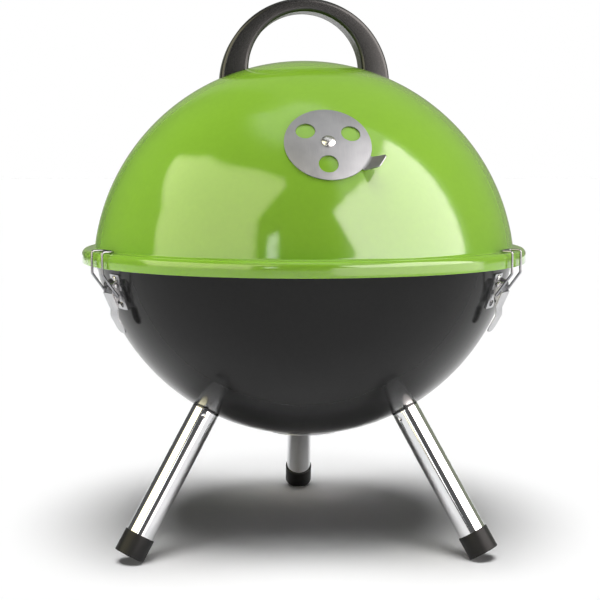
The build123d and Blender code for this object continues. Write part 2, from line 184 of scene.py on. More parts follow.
def arc(centre: Point2, radius: float, start: float, end: float, steps: int) -> list[Point2]:
    """Points along an arc.

    Args:
        centre: Centre of the arc.
        radius: Its radius.
        start: First angle in degrees.
        end: Last angle in degrees.
        steps: Number of chords.

    Returns:
        The points, both ends included.
    """
    angles = [radians(start + (end - start) * i / steps) for i in range(steps + 1)]
    return [(centre[0] + radius * cos(a), centre[1] + radius * sin(a)) for a in angles]


def bore(centre: Point2, radius: float, steps: int = 24) -> list[Point2]:
    """Outline of a round hole, clockwise."""
    return arc(centre, radius, 360, 0, steps)[:-1]


def rivet_bores(side: Side) -> list[list[Point2]]:
    """Outlines of a latch's rivet holes, in a sheet that is pressed to the bowl there."""
    spot = latch_spot(side)
    ups = [(rivet.origin - spot.origin).dot(spot.y) for rivet in rivet_spots(side)]
    return [bore((0, up), KETTLE.rivet_radius + KETTLE.seat_gap) for up in ups]


def washer_section(hole: float, rim: float, seat: float, thickness: float) -> list[Point2]:
    """Section of a washer that lies inside a shell.

    Args:
        hole: Radius of its hole.
        rim: Its outer radius.
        seat: How far its upper face is below the skin.
        thickness: Its thickness.

    Returns:
        The section as a closed loop.
    """
    edge, low = 0.2, seat + thickness
    return [(hole, -seat), (rim - edge, -seat), (rim, -seat - edge), (rim, -low + edge), (rim - edge, -low),
            (hole, -low)]


def rounded_path(points: Sequence[Vector], radii: Sequence[float], steps: int) -> list[Vector]:
    """Path through corners with each corner rounded by an arc.

    Args:
        points: Ends and corners of the path.
        radii: Bend radius at each inner corner.
        steps: Chords in each bend.

    Returns:
        Points along the path.
    """
    path = [points[0]]
    for before, corner, after, radius in zip(points, points[1:], points[2:], radii):
        back, ahead = (before - corner).normalized(), (after - corner).normalized()
        half = back.angle(ahead) / 2
        bisector = (back + ahead).normalized()
        centre = corner + bisector * (radius / sin(half))
        first = corner + back * (radius / tan(half)) - centre
        last = corner + ahead * (radius / tan(half)) - centre
        sweep = first.angle(last)
        for i in range(steps + 1):
            share = i / steps
            spread = (sin((1 - share) * sweep) * first + sin(share * sweep) * last) / sin(sweep)
            path.append(centre + spread)
    path.append(points[-1])
    return path


def path_lengths(path: Sequence[Sequence[float]]) -> list[float]:
    """Length from the start of a path to each of its points."""
    lengths = [0.0]
    for a, b in zip(path, path[1:]):
        lengths.append(lengths[-1] + dist(a, b))
    return lengths


def find_chord(lengths: Sequence[float], length: float) -> tuple[int, float]:
    """Chord of a path that a length falls on.

    Args:
        lengths: Length from the start of the path to each of its points.
        length: Length to look for.

    Returns:
        Number of the chord, and the share of it that the length reaches.
    """
    after = next((k for k, s in enumerate(lengths) if s >= length), len(lengths) - 1)
    i = min(max(0, after - 1), len(lengths) - 2)
    return i, (length - lengths[i]) / (lengths[i + 1] - lengths[i])


def rounded_box(width: float, low: float, high: float, radius: float, steps: int = 4) -> list[Point2]:
    """Rectangle across x with all four corners rounded.

    Args:
        width: Width of the rectangle.
        low: Its lower edge in y.
        high: Its upper edge in y.
        radius: Radius of the corners.
        steps: Chords in each corner.

    Returns:
        The outline, anticlockwise.
    """
    half, bottom, top = width / 2 - radius, low + radius, high - radius
    corners = ((half, bottom, -90), (half, top, 0), (-half, top, 90), (-half, bottom, 180))
    return [p for x, y, turn in corners for p in arc((x, y), radius, turn, turn + 90, steps)]


def inside(point: Point2, loop: Sequence[Point2]) -> bool:
    """Whether a point lies inside a closed loop.

    Args:
        point: The point.
        loop: Corners of the loop.

    Returns:
        True if it lies inside.
    """
    hit = False
    for (x1, y1), (x2, y2) in zip(loop, [*loop[1:], loop[0]]):
        if (y1 > point[1]) != (y2 > point[1]) and point[0] < (x2 - x1) * (point[1] - y1) / (y2 - y1) + x1:
            hit = not hit
    return hit


def resample(loop: Sequence[Point2], spacing: float) -> list[Point2]:
    """Closed loop with its long edges divided.

    Args:
        loop: Corners of the loop.
        spacing: Longest edge that is left.

    Returns:
        The corners and the new points between them.
    """
    points = []
    for (x1, y1), (x2, y2) in zip(loop, [*loop[1:], loop[0]]):
        steps = max(1, ceil(hypot(x2 - x1, y2 - y1) / spacing))
        points += [(x1 + (x2 - x1) * i / steps, y1 + (y2 - y1) * i / steps) for i in range(steps)]
    return points


def add_object(name: str, data: bpy.types.ID) -> Object:
    """New object in the scene, at the origin.

    Args:
        name: Its name.
        data: Its mesh, curve, lamp or camera.

    Returns:
        The object.
    """
    thing = bpy.data.objects.new(name, data)
    bpy.context.scene.collection.objects.link(thing)
    return thing


def finish_mesh(name: str, mesh: BMesh, crease: float = 40.0) -> Object:
    """Object at the origin from a mesh in millimetres, smooth up to a crease angle.

    Args:
        name: Name of the piece.
        mesh: Its mesh, in millimetres, which is freed.
        crease: Angle in degrees above which an edge stays sharp.

    Returns:
        The new object, in metres.
    """
    bmesh.ops.remove_doubles(mesh, verts=mesh.verts, dist=1e-4)
    bmesh.ops.recalc_face_normals(mesh, faces=mesh.faces)
    bmesh.ops.scale(mesh, vec=(MM, MM, MM), verts=mesh.verts)
    data = bpy.data.meshes.new(name)
    mesh.to_mesh(data)
    mesh.free()
    data.shade_smooth()
    data.set_sharp_from_angle(angle=radians(crease))
    return add_object(name, data)


def lathe(mesh: BMesh, section: Sequence[Point2], spot: Spot, segments: int = 64,
          closed: bool = False) -> None:
    """Turn a section about a spot's z axis.

    Args:
        mesh: Mesh that the turned form is added to.
        section: Points as distance from the axis and height along it.
        spot: Where the axis stands.
        segments: Divisions round the axis.
        closed: Whether the section is a loop that never meets the axis.
    """
    rings = []
    for radius, height in section:
        count = 1 if radius < 1e-6 else segments
        turns = [2 * pi * i / segments for i in range(count)]
        rings.append([mesh.verts.new(spot.at(radius * cos(a), radius * sin(a), height)) for a in turns])
    for ring, after in zip(rings, [*rings[1:], rings[0]] if closed else rings[1:]):
        for i in range(segments):
            j = (i + 1) % segments
            if len(ring) == 1 and len(after) > 1:
                mesh.faces.new((ring[0], after[i], after[j]))
            elif len(after) == 1 and len(ring) > 1:
                mesh.faces.new((ring[i], after[0], ring[j]))
            elif len(ring) > 1:
                mesh.faces.new((ring[i], after[i], after[j], ring[j]))


def sheet(mesh: BMesh, loops: Sequence[Sequence[Point2]], spacing: float, thickness: float,
          place: Callable[[float, float, float], Vector]) -> None:
    """Blank cut from sheet, pierced and pressed to a form.

    Args:
        mesh: Mesh that the sheet is added to.
        loops: Outline, followed by the outlines of its holes.
        spacing: Distance between the points that the form is carried on.
        thickness: Thickness of the sheet.
        place: Gives the place of a point of the blank at a depth below its upper side.
    """
    loops = [resample(loop, spacing) for loop in loops]
    points = [Vector(p) for loop in loops for p in loop]
    edges = []
    for loop in loops:
        start = len(edges)
        edges += [(start + i, start + (i + 1) % len(loop)) for i in range(len(loop))]
    low = [min(p[k] for p in loops[0]) for k in (0, 1)]
    high = [max(p[k] for p in loops[0]) for k in (0, 1)]
    rim = [Vector(p) for p in points]
    for row in range(1, int((high[1] - low[1]) / spacing) + 1):
        for column in range(1, int((high[0] - low[0]) / spacing) + 1):
            spot = (low[0] + (column - 0.5 * (row % 2)) * spacing, low[1] + row * spacing)
            if inside(spot, loops[0]) and not any(inside(spot, hole) for hole in loops[1:]):
                if min((Vector(spot) - p).length_squared for p in rim) > (0.6 * spacing) ** 2:
                    points.append(Vector(spot))
    flat, _, faces, *_ = delaunay_2d_cdt(points, edges, [], 0, 1e-5)
    upper = [mesh.verts.new(place(p.x, p.y, 0.0)) for p in flat]
    lower = [mesh.verts.new(place(p.x, p.y, thickness)) for p in flat]
    uses: dict[tuple[int, int], int] = {}
    for face in faces:
        middle = tuple(sum(flat[i][k] for i in face) / len(face) for k in (0, 1))
        if not inside(middle, loops[0]) or any(inside(middle, hole) for hole in loops[1:]):
            continue
        mesh.faces.new([upper[i] for i in face])
        mesh.faces.new([lower[i] for i in reversed(face)])
        for a, b in zip(face, [*face[1:], face[0]]):
            if (b, a) in uses:
                del uses[(b, a)]
            else:
                uses[(a, b)] = 1
    for a, b in uses:
        mesh.faces.new((upper[b], upper[a], lower[a], lower[b]))
    bmesh.ops.delete(mesh, geom=[v for v in mesh.verts if not v.link_faces], context="VERTS")


def soften(piece: Object, width: float, segments: int = 2, angle: float = 40.0) -> None:
    """Break the sharp edges of a piece, as tumbling or moulding does.

    Args:
        piece: Piece whose edges are broken.
        width: Width of the break in millimetres.
        segments: Facets across it.
        angle: Edges sharper than this are broken, in degrees.
    """
    bevel = piece.modifiers.new("edge", "BEVEL")
    bevel.width = width * MM
    bevel.segments = segments
    bevel.limit_method = "ANGLE"
    bevel.angle_limit = radians(angle)
    bevel.harden_normals = False
    apply_modifiers(piece)


def apply_modifiers(piece: Object) -> None:
    """Turn a piece and its modifiers into one plain mesh.

    Args:
        piece: Piece whose modifiers are applied.
    """
    graph = bpy.context.evaluated_depsgraph_get()
    data = bpy.data.meshes.new_from_object(piece.evaluated_get(graph), depsgraph=graph)
    piece.modifiers.clear()
    old = piece.data
    piece.data = data
    bpy.data.meshes.remove(old)


def pierce(piece: Object, holes: Sequence[tuple[Spot, float, float]], crease: float) -> None:
    """Drill round holes through a shell.

    Args:
        piece: Shell that is drilled.
        holes: Where each hole stands, its radius, and how far the drill reaches each way.
        crease: Angle in degrees above which an edge is left sharp.
    """
    cutter = bmesh.new()
    for spot, radius, reach in holes:
        lathe(cutter, [(0, -reach), (radius, -reach), (radius, reach), (0, reach)], spot, segments=48)
    drill = finish_mesh("drill", cutter)
    cut = piece.modifiers.new("holes", "BOOLEAN")
    cut.object = drill
    cut.operation = "DIFFERENCE"
    cut.solver = "EXACT"
    apply_modifiers(piece)
    bpy.data.objects.remove(drill)
    piece.data.shade_smooth()
    piece.data.set_sharp_from_angle(angle=radians(crease))


def add_map(piece: Object, place: Callable[[Vector], Point2]) -> None:
    """Give a piece a UV map in millimetres.

    Args:
        piece: Piece that gets the map.
        place: Gives the map's two coordinates for a point in millimetres.
    """
    layer = piece.data.uv_layers.new(name="millimetres")
    for loop in piece.data.loops:
        layer.data[loop.index].uv = place(piece.data.vertices[loop.vertex_index].co / MM)


def deliver(piece: Object, body: str, slot: str, finish: Material, *nodes: str) -> None:
    """Dress a finished piece and hang it on its body in place of the nodes it stands for.

    Args:
        piece: Finished piece, at the origin.
        body: Body that it rides on.
        slot: Material slot of the record that its finish belongs to; not used.
        finish: Its material.
        *nodes: CAD nodes that it replaces.
    """
    piece.data.materials.clear()
    piece.data.materials.append(finish)
    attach(piece, body)
    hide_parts(*nodes)
    LOG.info("%s: %d faces on %s", piece.name, len(piece.data.polygons), body)


def linear(colour: str) -> tuple[float, float, float, float]:
    """Linear colour of an sRGB hex value such as #8DC037."""
    parts = [int(colour[i:i + 2], 16) / 255 for i in (1, 3, 5)]
    return (*(c / 12.92 if c <= 0.04045 else ((c + 0.055) / 1.055) ** 2.4 for c in parts), 1.0)


def add_node(tree: NodeTree, kind: str, settings: dict[str, object] | None = None, **inputs: object) -> Node:
    """Add a node, set it and link it.

    Args:
        tree: Tree that the node is added to.
        kind: Type name of the node.
        settings: Values of the node's own properties.
        **inputs: Value of an input, or the output socket to link to it, under the input's name with _ for
            a space, or under i and its number.

    Returns:
        The node.
    """
    node = tree.nodes.new(kind)
    for key, value in (settings or {}).items():
        setattr(node, key, value)
    for key, value in inputs.items():
        socket = node.inputs[int(key[1:])] if key[1:].isdigit() else node.inputs[key.replace("_", " ")]
        if isinstance(value, NodeSocket):
            tree.links.new(value, socket)
        else:
            socket.default_value = value
    return node


def new_material(name: str) -> Material:
    """Material whose tree is still empty.

    Args:
        name: Its name.

    Returns:
        The material.
    """
    material = bpy.data.materials.new(name)
    material.use_nodes = True
    material.node_tree.nodes.clear()
    return material


class Pattern(Enum):
    """How the surface of a finish was made, which sets the pattern in it."""

    GLAZED = "glazed"
    MOULDED = "moulded"
    BRUSHED = "brushed"
    DRAWN = "drawn"
    PLATED = "plated"


@dataclass(frozen=True)
class Finish:
    """A real finish: its colours, its gloss and the grain of its surface, in millimetres."""

    name: str
    pattern: Pattern
    colour: str
    shade: str
    roughness: float
    spread: float
    metallic: float = 0.0
    ior: float = 1.5
    coat: float = 0.0
    coat_roughness: float = 0.03
    grain: float = 1.0
    stretch: float = 1.0
    relief: float = 0.0
    cloud: float = 40.0
    grain_share: float = 0.45
    grain_range: Point2 = (0.3, 0.7)
    tint_range: Point2 = (0.32, 0.62)

    def build(self) -> Material:
        """Make the material.

        Returns:
            A node material whose colour, roughness and relief follow the finish's pattern.
        """
        material = new_material(self.name)
        tree = material.node_tree
        mapped = self.pattern in (Pattern.BRUSHED, Pattern.DRAWN)
        source = add_node(tree, "ShaderNodeTexCoord").outputs["UV" if mapped else "Object"]
        unit = 1.0 if mapped else 1.0 / MM
        fine = add_node(tree, "ShaderNodeMapping", Vector=source,
                        Scale=(unit / self.grain, unit / self.grain / self.stretch, unit / self.grain))
        grain = add_node(tree, "ShaderNodeTexNoise", Vector=fine.outputs[0], Scale=1.0, Detail=3.0,
                         Roughness=0.55)
        broad = add_node(tree, "ShaderNodeMapping", Vector=source, Scale=(unit / self.cloud,) * 3)
        cloud = add_node(tree, "ShaderNodeTexNoise", Vector=broad.outputs[0], Scale=1.0, Detail=2.0)
        drift = add_node(tree, "ShaderNodeMath", {"operation": "MULTIPLY"}, i0=cloud.outputs[0],
                         i1=1.0 - self.grain_share)
        both = add_node(tree, "ShaderNodeMath", {"operation": "MULTIPLY_ADD"}, i0=grain.outputs[0],
                        i1=self.grain_share, i2=drift.outputs[0])
        tint = add_node(tree, "ShaderNodeValToRGB", Fac=both.outputs[0])
        for stop, place, colour in zip(tint.color_ramp.elements, self.tint_range, (self.shade, self.colour)):
            stop.position = place
            stop.color = linear(colour)
        gloss = add_node(tree, "ShaderNodeMapRange", Value=grain.outputs[0], i1=self.grain_range[0],
                         i2=self.grain_range[1], i3=max(0.0, self.roughness - self.spread),
                         i4=self.roughness + self.spread)
        skin = add_node(tree, "ShaderNodeBsdfPrincipled", Base_Color=tint.outputs[0],
                        Roughness=gloss.outputs[0], Metallic=self.metallic)
        if not self.metallic:
            skin.inputs["IOR"].default_value = self.ior
            skin.inputs["Coat Weight"].default_value = self.coat
            skin.inputs["Coat Roughness"].default_value = self.coat_roughness
        if self.relief:
            bump = add_node(tree, "ShaderNodeBump", Strength=1.0, Distance=self.relief * MM,
                            Height=grain.outputs[0])
            tree.links.new(bump.outputs[0], skin.inputs["Normal"])
        add_node(tree, "ShaderNodeOutputMaterial", Surface=skin.outputs[0])
        return material


# Fired glass on pressed steel: deep even colour under a hard gloss, with the faint orange peel of a spray
GREEN_ENAMEL = Finish("apple_green_porcelain_enamel", Pattern.GLAZED, "#89BA31", "#85B52F", 0.10, 0.02,
                      coat=0.6, grain=4.0, relief=0.004, cloud=90.0)
# The same glass in black: a satin gloss with a slight haze, so reflections are soft
BLACK_ENAMEL = Finish("black_porcelain_enamel", Pattern.GLAZED, "#222222", "#1F1F1F", 0.16, 0.03,
                      ior=1.25, grain=3.0, relief=0.005, cloud=70.0)
# Thermoset moulding: dull black with a wide sheen and a fine eroded-mould grain
PHENOLIC = Finish("moulded_black_phenolic", Pattern.MOULDED, "#161616", "#121212", 0.25, 0.04,
                  ior=1.55, grain=0.6, relief=0.005, cloud=12.0)
# Drawn steel tube under bright chromium: a mirror with faint draw lines along the tube
CHROME_TUBE = Finish("chromed_steel_tube", Pattern.DRAWN, "#E8E8E9", "#DDDEE0", 0.08, 0.02, metallic=1.0,
                     grain=0.5, stretch=60.0, relief=0.0004, cloud=25.0)
# Injection-moulded polypropylene: satin black with a soft highlight
FOOT_PLASTIC = Finish("moulded_black_polypropylene", Pattern.MOULDED, "#171717", "#131313", 0.42, 0.05,
                      ior=1.3, grain=0.6, relief=0.012, cloud=8.0)
# Natural nylon turned from bar: milky and slightly glossy
NYLON = Finish("turned_white_nylon", Pattern.MOULDED, "#DEDBD2", "#D2CFC4", 0.40, 0.05,
               grain=0.8, relief=0.01, cloud=10.0)
# Stainless sheet brushed one way: grey, with fine straight lines that smear the highlights
BRUSHED_STEEL = Finish("brushed_stainless_sheet", Pattern.BRUSHED, "#999B9F", "#8B8D91", 0.42, 0.06,
                       metallic=1.0, grain=0.35, stretch=45.0, relief=0.003, cloud=14.0)
# Set aluminium rivet: bright and a little dented by the tool
ALUMINIUM = Finish("set_aluminium_rivet", Pattern.PLATED, "#DADADA", "#C2C2C2", 0.24, 0.06, metallic=1.0,
                   grain=0.9, relief=0.03, cloud=3.0)
# Nickel over pressed steel: pale grey metal with a soft gloss and faint press marks
NICKEL = Finish("nickel_plated_pressed_steel", Pattern.PLATED, "#C2C2C4", "#ADADB0", 0.22, 0.05, metallic=1.0,
                grain=1.4, relief=0.006, cloud=6.0)
# Hard-drawn spring wire with bright zinc: glossy, with short lengthwise streaks
WIRE = Finish("bright_zinc_spring_wire", Pattern.PLATED, "#9C9DA0", "#86878A", 0.16, 0.04, metallic=1.0,
              grain=0.8, relief=0.003, cloud=5.0)
# Electroplated zinc on stock fasteners: grey with a bluish bloom
ZINC = Finish("zinc_plated_fasteners", Pattern.PLATED, "#C4C9CE", "#AEB2B8", 0.28, 0.06, metallic=1.0,
              grain=1.0, relief=0.006, cloud=5.0)
# Chromed wire grate: bright, with slight ripples where the plating ran
GRATE_CHROME = Finish("chromed_grate_wire", Pattern.PLATED, "#E3E3E4", "#CFCFD1", 0.14, 0.04, metallic=1.0,
                      grain=2.0, relief=0.006, cloud=20.0)


class NodeForms:
    """Geometry Nodes trees for what repeats or follows a path."""

    def __init__(self) -> None:
        """Build the three trees."""
        self.wire_tree = self._wire()
        self.fastener_tree = self._fastener()
        self.grate_tree = self._grate()

    @staticmethod
    def _start(name: str, sizes: dict[str, str]) -> tuple[GeometryNodeTree, Node]:
        """Empty tree with a geometry in and out, its named inputs and a material.

        Args:
            name: Name of the tree.
            sizes: Socket type of each input, such as Float, by its name.

        Returns:
            The tree and its input node.
        """
        tree = bpy.data.node_groups.new(name, "GeometryNodeTree")
        tree.interface.new_socket("Geometry", in_out="INPUT", socket_type="NodeSocketGeometry")
        for key, kind in {**sizes, "Material": "Material"}.items():
            tree.interface.new_socket(key, in_out="INPUT", socket_type=f"NodeSocket{kind}")
        tree.interface.new_socket("Geometry", in_out="OUTPUT", socket_type="NodeSocketGeometry")
        return tree, add_node(tree, "NodeGroupInput")

    @staticmethod
    def _end(tree: GeometryNodeTree, geometry: NodeSocket, finish: NodeSocket) -> None:
        """Make instances real, smooth them and give them their material.

        Args:
            tree: Tree that is ended.
            geometry: What it has made.
            finish: Material that it gives it.
        """
        real = add_node(tree, "GeometryNodeRealizeInstances", Geometry=geometry)
        smooth = add_node(tree, "GeometryNodeSetShadeSmooth", i0=real.outputs[0])
        dressed = add_node(tree, "GeometryNodeSetMaterial", Geometry=smooth.outputs[0], Material=finish)
        add_node(tree, "NodeGroupOutput", Geometry=dressed.outputs[0])

    def _wire(self) -> GeometryNodeTree:
        """Tree that draws a round wire along a curve.

        Returns:
            The tree.
        """
        tree, given = self._start("wire_along_path", {"Wire Radius": "Float", "Sides": "Int"})
        ring = add_node(tree, "GeometryNodeCurvePrimitiveCircle", Resolution=given.outputs["Sides"],
                        Radius=given.outputs["Wire Radius"])
        tube = add_node(tree, "GeometryNodeCurveToMesh", Curve=given.outputs["Geometry"],
                        Profile_Curve=ring.outputs[0], Fill_Caps=True)
        self._end(tree, tube.outputs[0], given.outputs["Material"])
        return tree

    def _fastener(self) -> GeometryNodeTree:
        """Tree that sets a copy of a fastener on every point, along the point's own axis.

        Returns:
            The tree.
        """
        tree, given = self._start("fastener_on_points", {"Fastener": "Object"})
        shape = add_node(tree, "GeometryNodeObjectInfo", Object=given.outputs["Fastener"])
        axis = add_node(tree, "GeometryNodeInputNamedAttribute", {"data_type": "FLOAT_VECTOR"}, Name="axis")
        turn = add_node(tree, "FunctionNodeAlignRotationToVector", {"axis": "Z"}, Vector=axis.outputs[0])
        copies = add_node(tree, "GeometryNodeInstanceOnPoints", Points=given.outputs["Geometry"],
                          Instance=shape.outputs["Geometry"], Rotation=turn.outputs[0])
        self._end(tree, copies.outputs[0], given.outputs["Material"])
        return tree

    def _grate(self) -> GeometryNodeTree:
        """Tree for a wire grate: a ring, bars at a pitch across it and two rods under them.

        Returns:
            The tree.
        """
        floats = ("Ring Radius", "Height", "Pitch", "Bar Wire", "Ring Wire", "Rod Offset", "Rod Reach",
                  "Rod Height")
        tree, given = self._start("wire_grate", {**dict.fromkeys(floats, "Float"), "Bars": "Int"})
        size = given.outputs
        circle = add_node(tree, "GeometryNodeCurvePrimitiveCircle", Resolution=192,
                          Radius=size["Ring Radius"])
        lift = add_node(tree, "ShaderNodeCombineXYZ", Z=size["Height"])
        hoop = add_node(tree, "GeometryNodeTransform", Geometry=circle.outputs[0],
                        Translation=lift.outputs[0])
        thick = add_node(tree, "GeometryNodeCurvePrimitiveCircle", Resolution=20, Radius=size["Ring Wire"])
        ring = add_node(tree, "GeometryNodeCurveToMesh", Curve=hoop.outputs[0],
                        Profile_Curve=thick.outputs[0])
        thin = add_node(tree, "GeometryNodeCurvePrimitiveCircle", Resolution=16, Radius=size["Bar Wire"])
        stick = add_node(tree, "GeometryNodeCurvePrimitiveLine", Start=(0, -1, 0), End=(0, 1, 0))
        bar = add_node(tree, "GeometryNodeCurveToMesh", Curve=stick.outputs[0], Profile_Curve=thin.outputs[0],
                       Fill_Caps=True)
        last = add_node(tree, "ShaderNodeMath", {"operation": "SUBTRACT"}, i0=size["Bars"], i1=1.0)
        span = add_node(tree, "ShaderNodeMath", {"operation": "MULTIPLY"}, i0=last.outputs[0],
                        i1=size["Pitch"])
        left = add_node(tree, "ShaderNodeMath", {"operation": "MULTIPLY"}, i0=span.outputs[0], i1=-0.5)
        start = add_node(tree, "ShaderNodeCombineXYZ", X=left.outputs[0], Z=size["Height"])
        step = add_node(tree, "ShaderNodeCombineXYZ", X=size["Pitch"])
        row = add_node(tree, "GeometryNodeMeshLine", Count=size["Bars"], Start_Location=start.outputs[0],
                       Offset=step.outputs[0])
        place = add_node(tree, "GeometryNodeInputPosition")
        here = add_node(tree, "ShaderNodeSeparateXYZ", Vector=place.outputs[0])
        aside = add_node(tree, "ShaderNodeMath", {"operation": "POWER"}, i0=here.outputs[0], i1=2.0)
        full = add_node(tree, "ShaderNodeMath", {"operation": "POWER"}, i0=size["Ring Radius"], i1=2.0)
        rest = add_node(tree, "ShaderNodeMath", {"operation": "SUBTRACT"}, i0=full.outputs[0],
                        i1=aside.outputs[0])
        reach = add_node(tree, "ShaderNodeMath", {"operation": "SQRT"}, i0=rest.outputs[0])
        stretch = add_node(tree, "ShaderNodeCombineXYZ", X=1.0, Y=reach.outputs[0], Z=1.0)
        bars = add_node(tree, "GeometryNodeInstanceOnPoints", Points=row.outputs[0], Instance=bar.outputs[0],
                        Scale=stretch.outputs[0])
        double = add_node(tree, "ShaderNodeMath", {"operation": "MULTIPLY"}, i0=size["Rod Offset"], i1=2.0)
        first = add_node(tree, "ShaderNodeMath", {"operation": "MULTIPLY"}, i0=size["Rod Offset"], i1=-1.0)
        begin = add_node(tree, "ShaderNodeCombineXYZ", Y=first.outputs[0], Z=size["Rod Height"])
        stride = add_node(tree, "ShaderNodeCombineXYZ", Y=double.outputs[0])
        pair = add_node(tree, "GeometryNodeMeshLine", Count=2, Start_Location=begin.outputs[0],
                        Offset=stride.outputs[0])
        beam = add_node(tree, "GeometryNodeCurvePrimitiveLine", Start=(-1, 0, 0), End=(1, 0, 0))
        rod = add_node(tree, "GeometryNodeCurveToMesh", Curve=beam.outputs[0], Profile_Curve=thick.outputs[0],
                       Fill_Caps=True)
        length = add_node(tree, "ShaderNodeCombineXYZ", X=size["Rod Reach"], Y=1.0, Z=1.0)
        rods = add_node(tree, "GeometryNodeInstanceOnPoints", Points=pair.outputs[0], Instance=rod.outputs[0],
                        Scale=length.outputs[0])
        joined = add_node(tree, "GeometryNodeJoinGeometry")
        for part in (ring, bars, rods):
            tree.links.new(part.outputs[0], joined.inputs[0])
        self._end(tree, joined.outputs[0], size["Material"])
        return tree

    @staticmethod
    def _grow(carrier: Object, tree: GeometryNodeTree, values: dict[str, object],
              crease: float = 50.0) -> Object:
        """Run a tree on a carrier and keep the result as a plain mesh object.

        Args:
            carrier: Object that the tree starts from, which is removed.
            tree: The tree.
            values: Input values by socket name.
            crease: Angle in degrees above which an edge is left sharp.

        Returns:
            The new piece, under the carrier's name.
        """
        grown = carrier.modifiers.new(tree.name, "NODES")
        grown.node_group = tree
        names = {item.name: item.identifier for item in tree.interface.items_tree if item.in_out == "INPUT"}
        for key, value in values.items():
            grown[names[key]] = value
        graph = bpy.context.evaluated_depsgraph_get()
        data = bpy.data.meshes.new_from_object(carrier.evaluated_get(graph), depsgraph=graph)
        name = carrier.name
        bpy.data.objects.remove(carrier)
        data.name = name
        data.set_sharp_from_angle(angle=radians(crease))
        return add_object(name, data)

    def wire(self, name: str, path: Sequence[Vector], radius: float, finish: Material) -> Object:
        """Round wire along a path.

        Args:
            name: Name of the piece.
            path: Points of the path, in millimetres.
            radius: Radius of the wire.
            finish: Its material.

        Returns:
            The wire as a plain mesh.
        """
        line = bpy.data.curves.new(name, "CURVE")
        line.dimensions = "3D"
        spline = line.splines.new("POLY")
        spline.points.add(len(path) - 1)
        for point, place in zip(spline.points, path):
            point.co = (*(place * MM), 1.0)
        values = {"Wire Radius": radius * MM, "Sides": 20, "Material": finish}
        return self._grow(add_object(name, line), self.wire_tree, values)

    def fasteners(self, name: str, section: Sequence[Point2], spots: Sequence[Spot],
                  finish: Material, segments: int = 32, closed: bool = False) -> Object:
        """Turned fasteners, one at each spot.

        Args:
            name: Name of the piece.
            section: Section of one fastener, from its axis and along it.
            spots: Where they stand.
            finish: Their material.
            segments: Divisions round each.
            closed: Whether the section is a loop off the axis.

        Returns:
            All the copies as one plain mesh.
        """
        form = bmesh.new()
        lathe(form, section, UPRIGHT, segments, closed)
        shape = finish_mesh(f"{name}_shape", form)
        points = bpy.data.meshes.new(name)
        points.from_pydata([spot.origin * MM for spot in spots], [], [])
        axis = points.attributes.new("axis", "FLOAT_VECTOR", "POINT")
        for value, spot in zip(axis.data, spots):
            value.vector = spot.z
        values = {"Fastener": shape, "Material": finish}
        piece = self._grow(add_object(name, points), self.fastener_tree, values, crease=40.0)
        bpy.data.objects.remove(shape)
        return piece

    def grate(self, name: str, sizes: dict[str, float], bars: int, finish: Material) -> Object:
        """Wire grate from its lengths in millimetres, under the names of the tree's inputs."""
        values = {**{key: value * MM for key, value in sizes.items()}, "Bars": bars, "Material": finish}
        return self._grow(add_object(name, bpy.data.meshes.new(name)), self.grate_tree, values)


@dataclass
class Workshop:
    """What every sub-assembly builds with: the node forms and the finished materials."""

    forms: NodeForms
    finishes: dict[str, Material] = field(default_factory=dict)

    def finish(self, kind: Finish) -> Material:
        """Material of a finish, made once.

        Args:
            kind: The finish.

        Returns:
            Its material.
        """
        if kind.name not in self.finishes:
            self.finishes[kind.name] = kind.build()
        return self.finishes[kind.name]


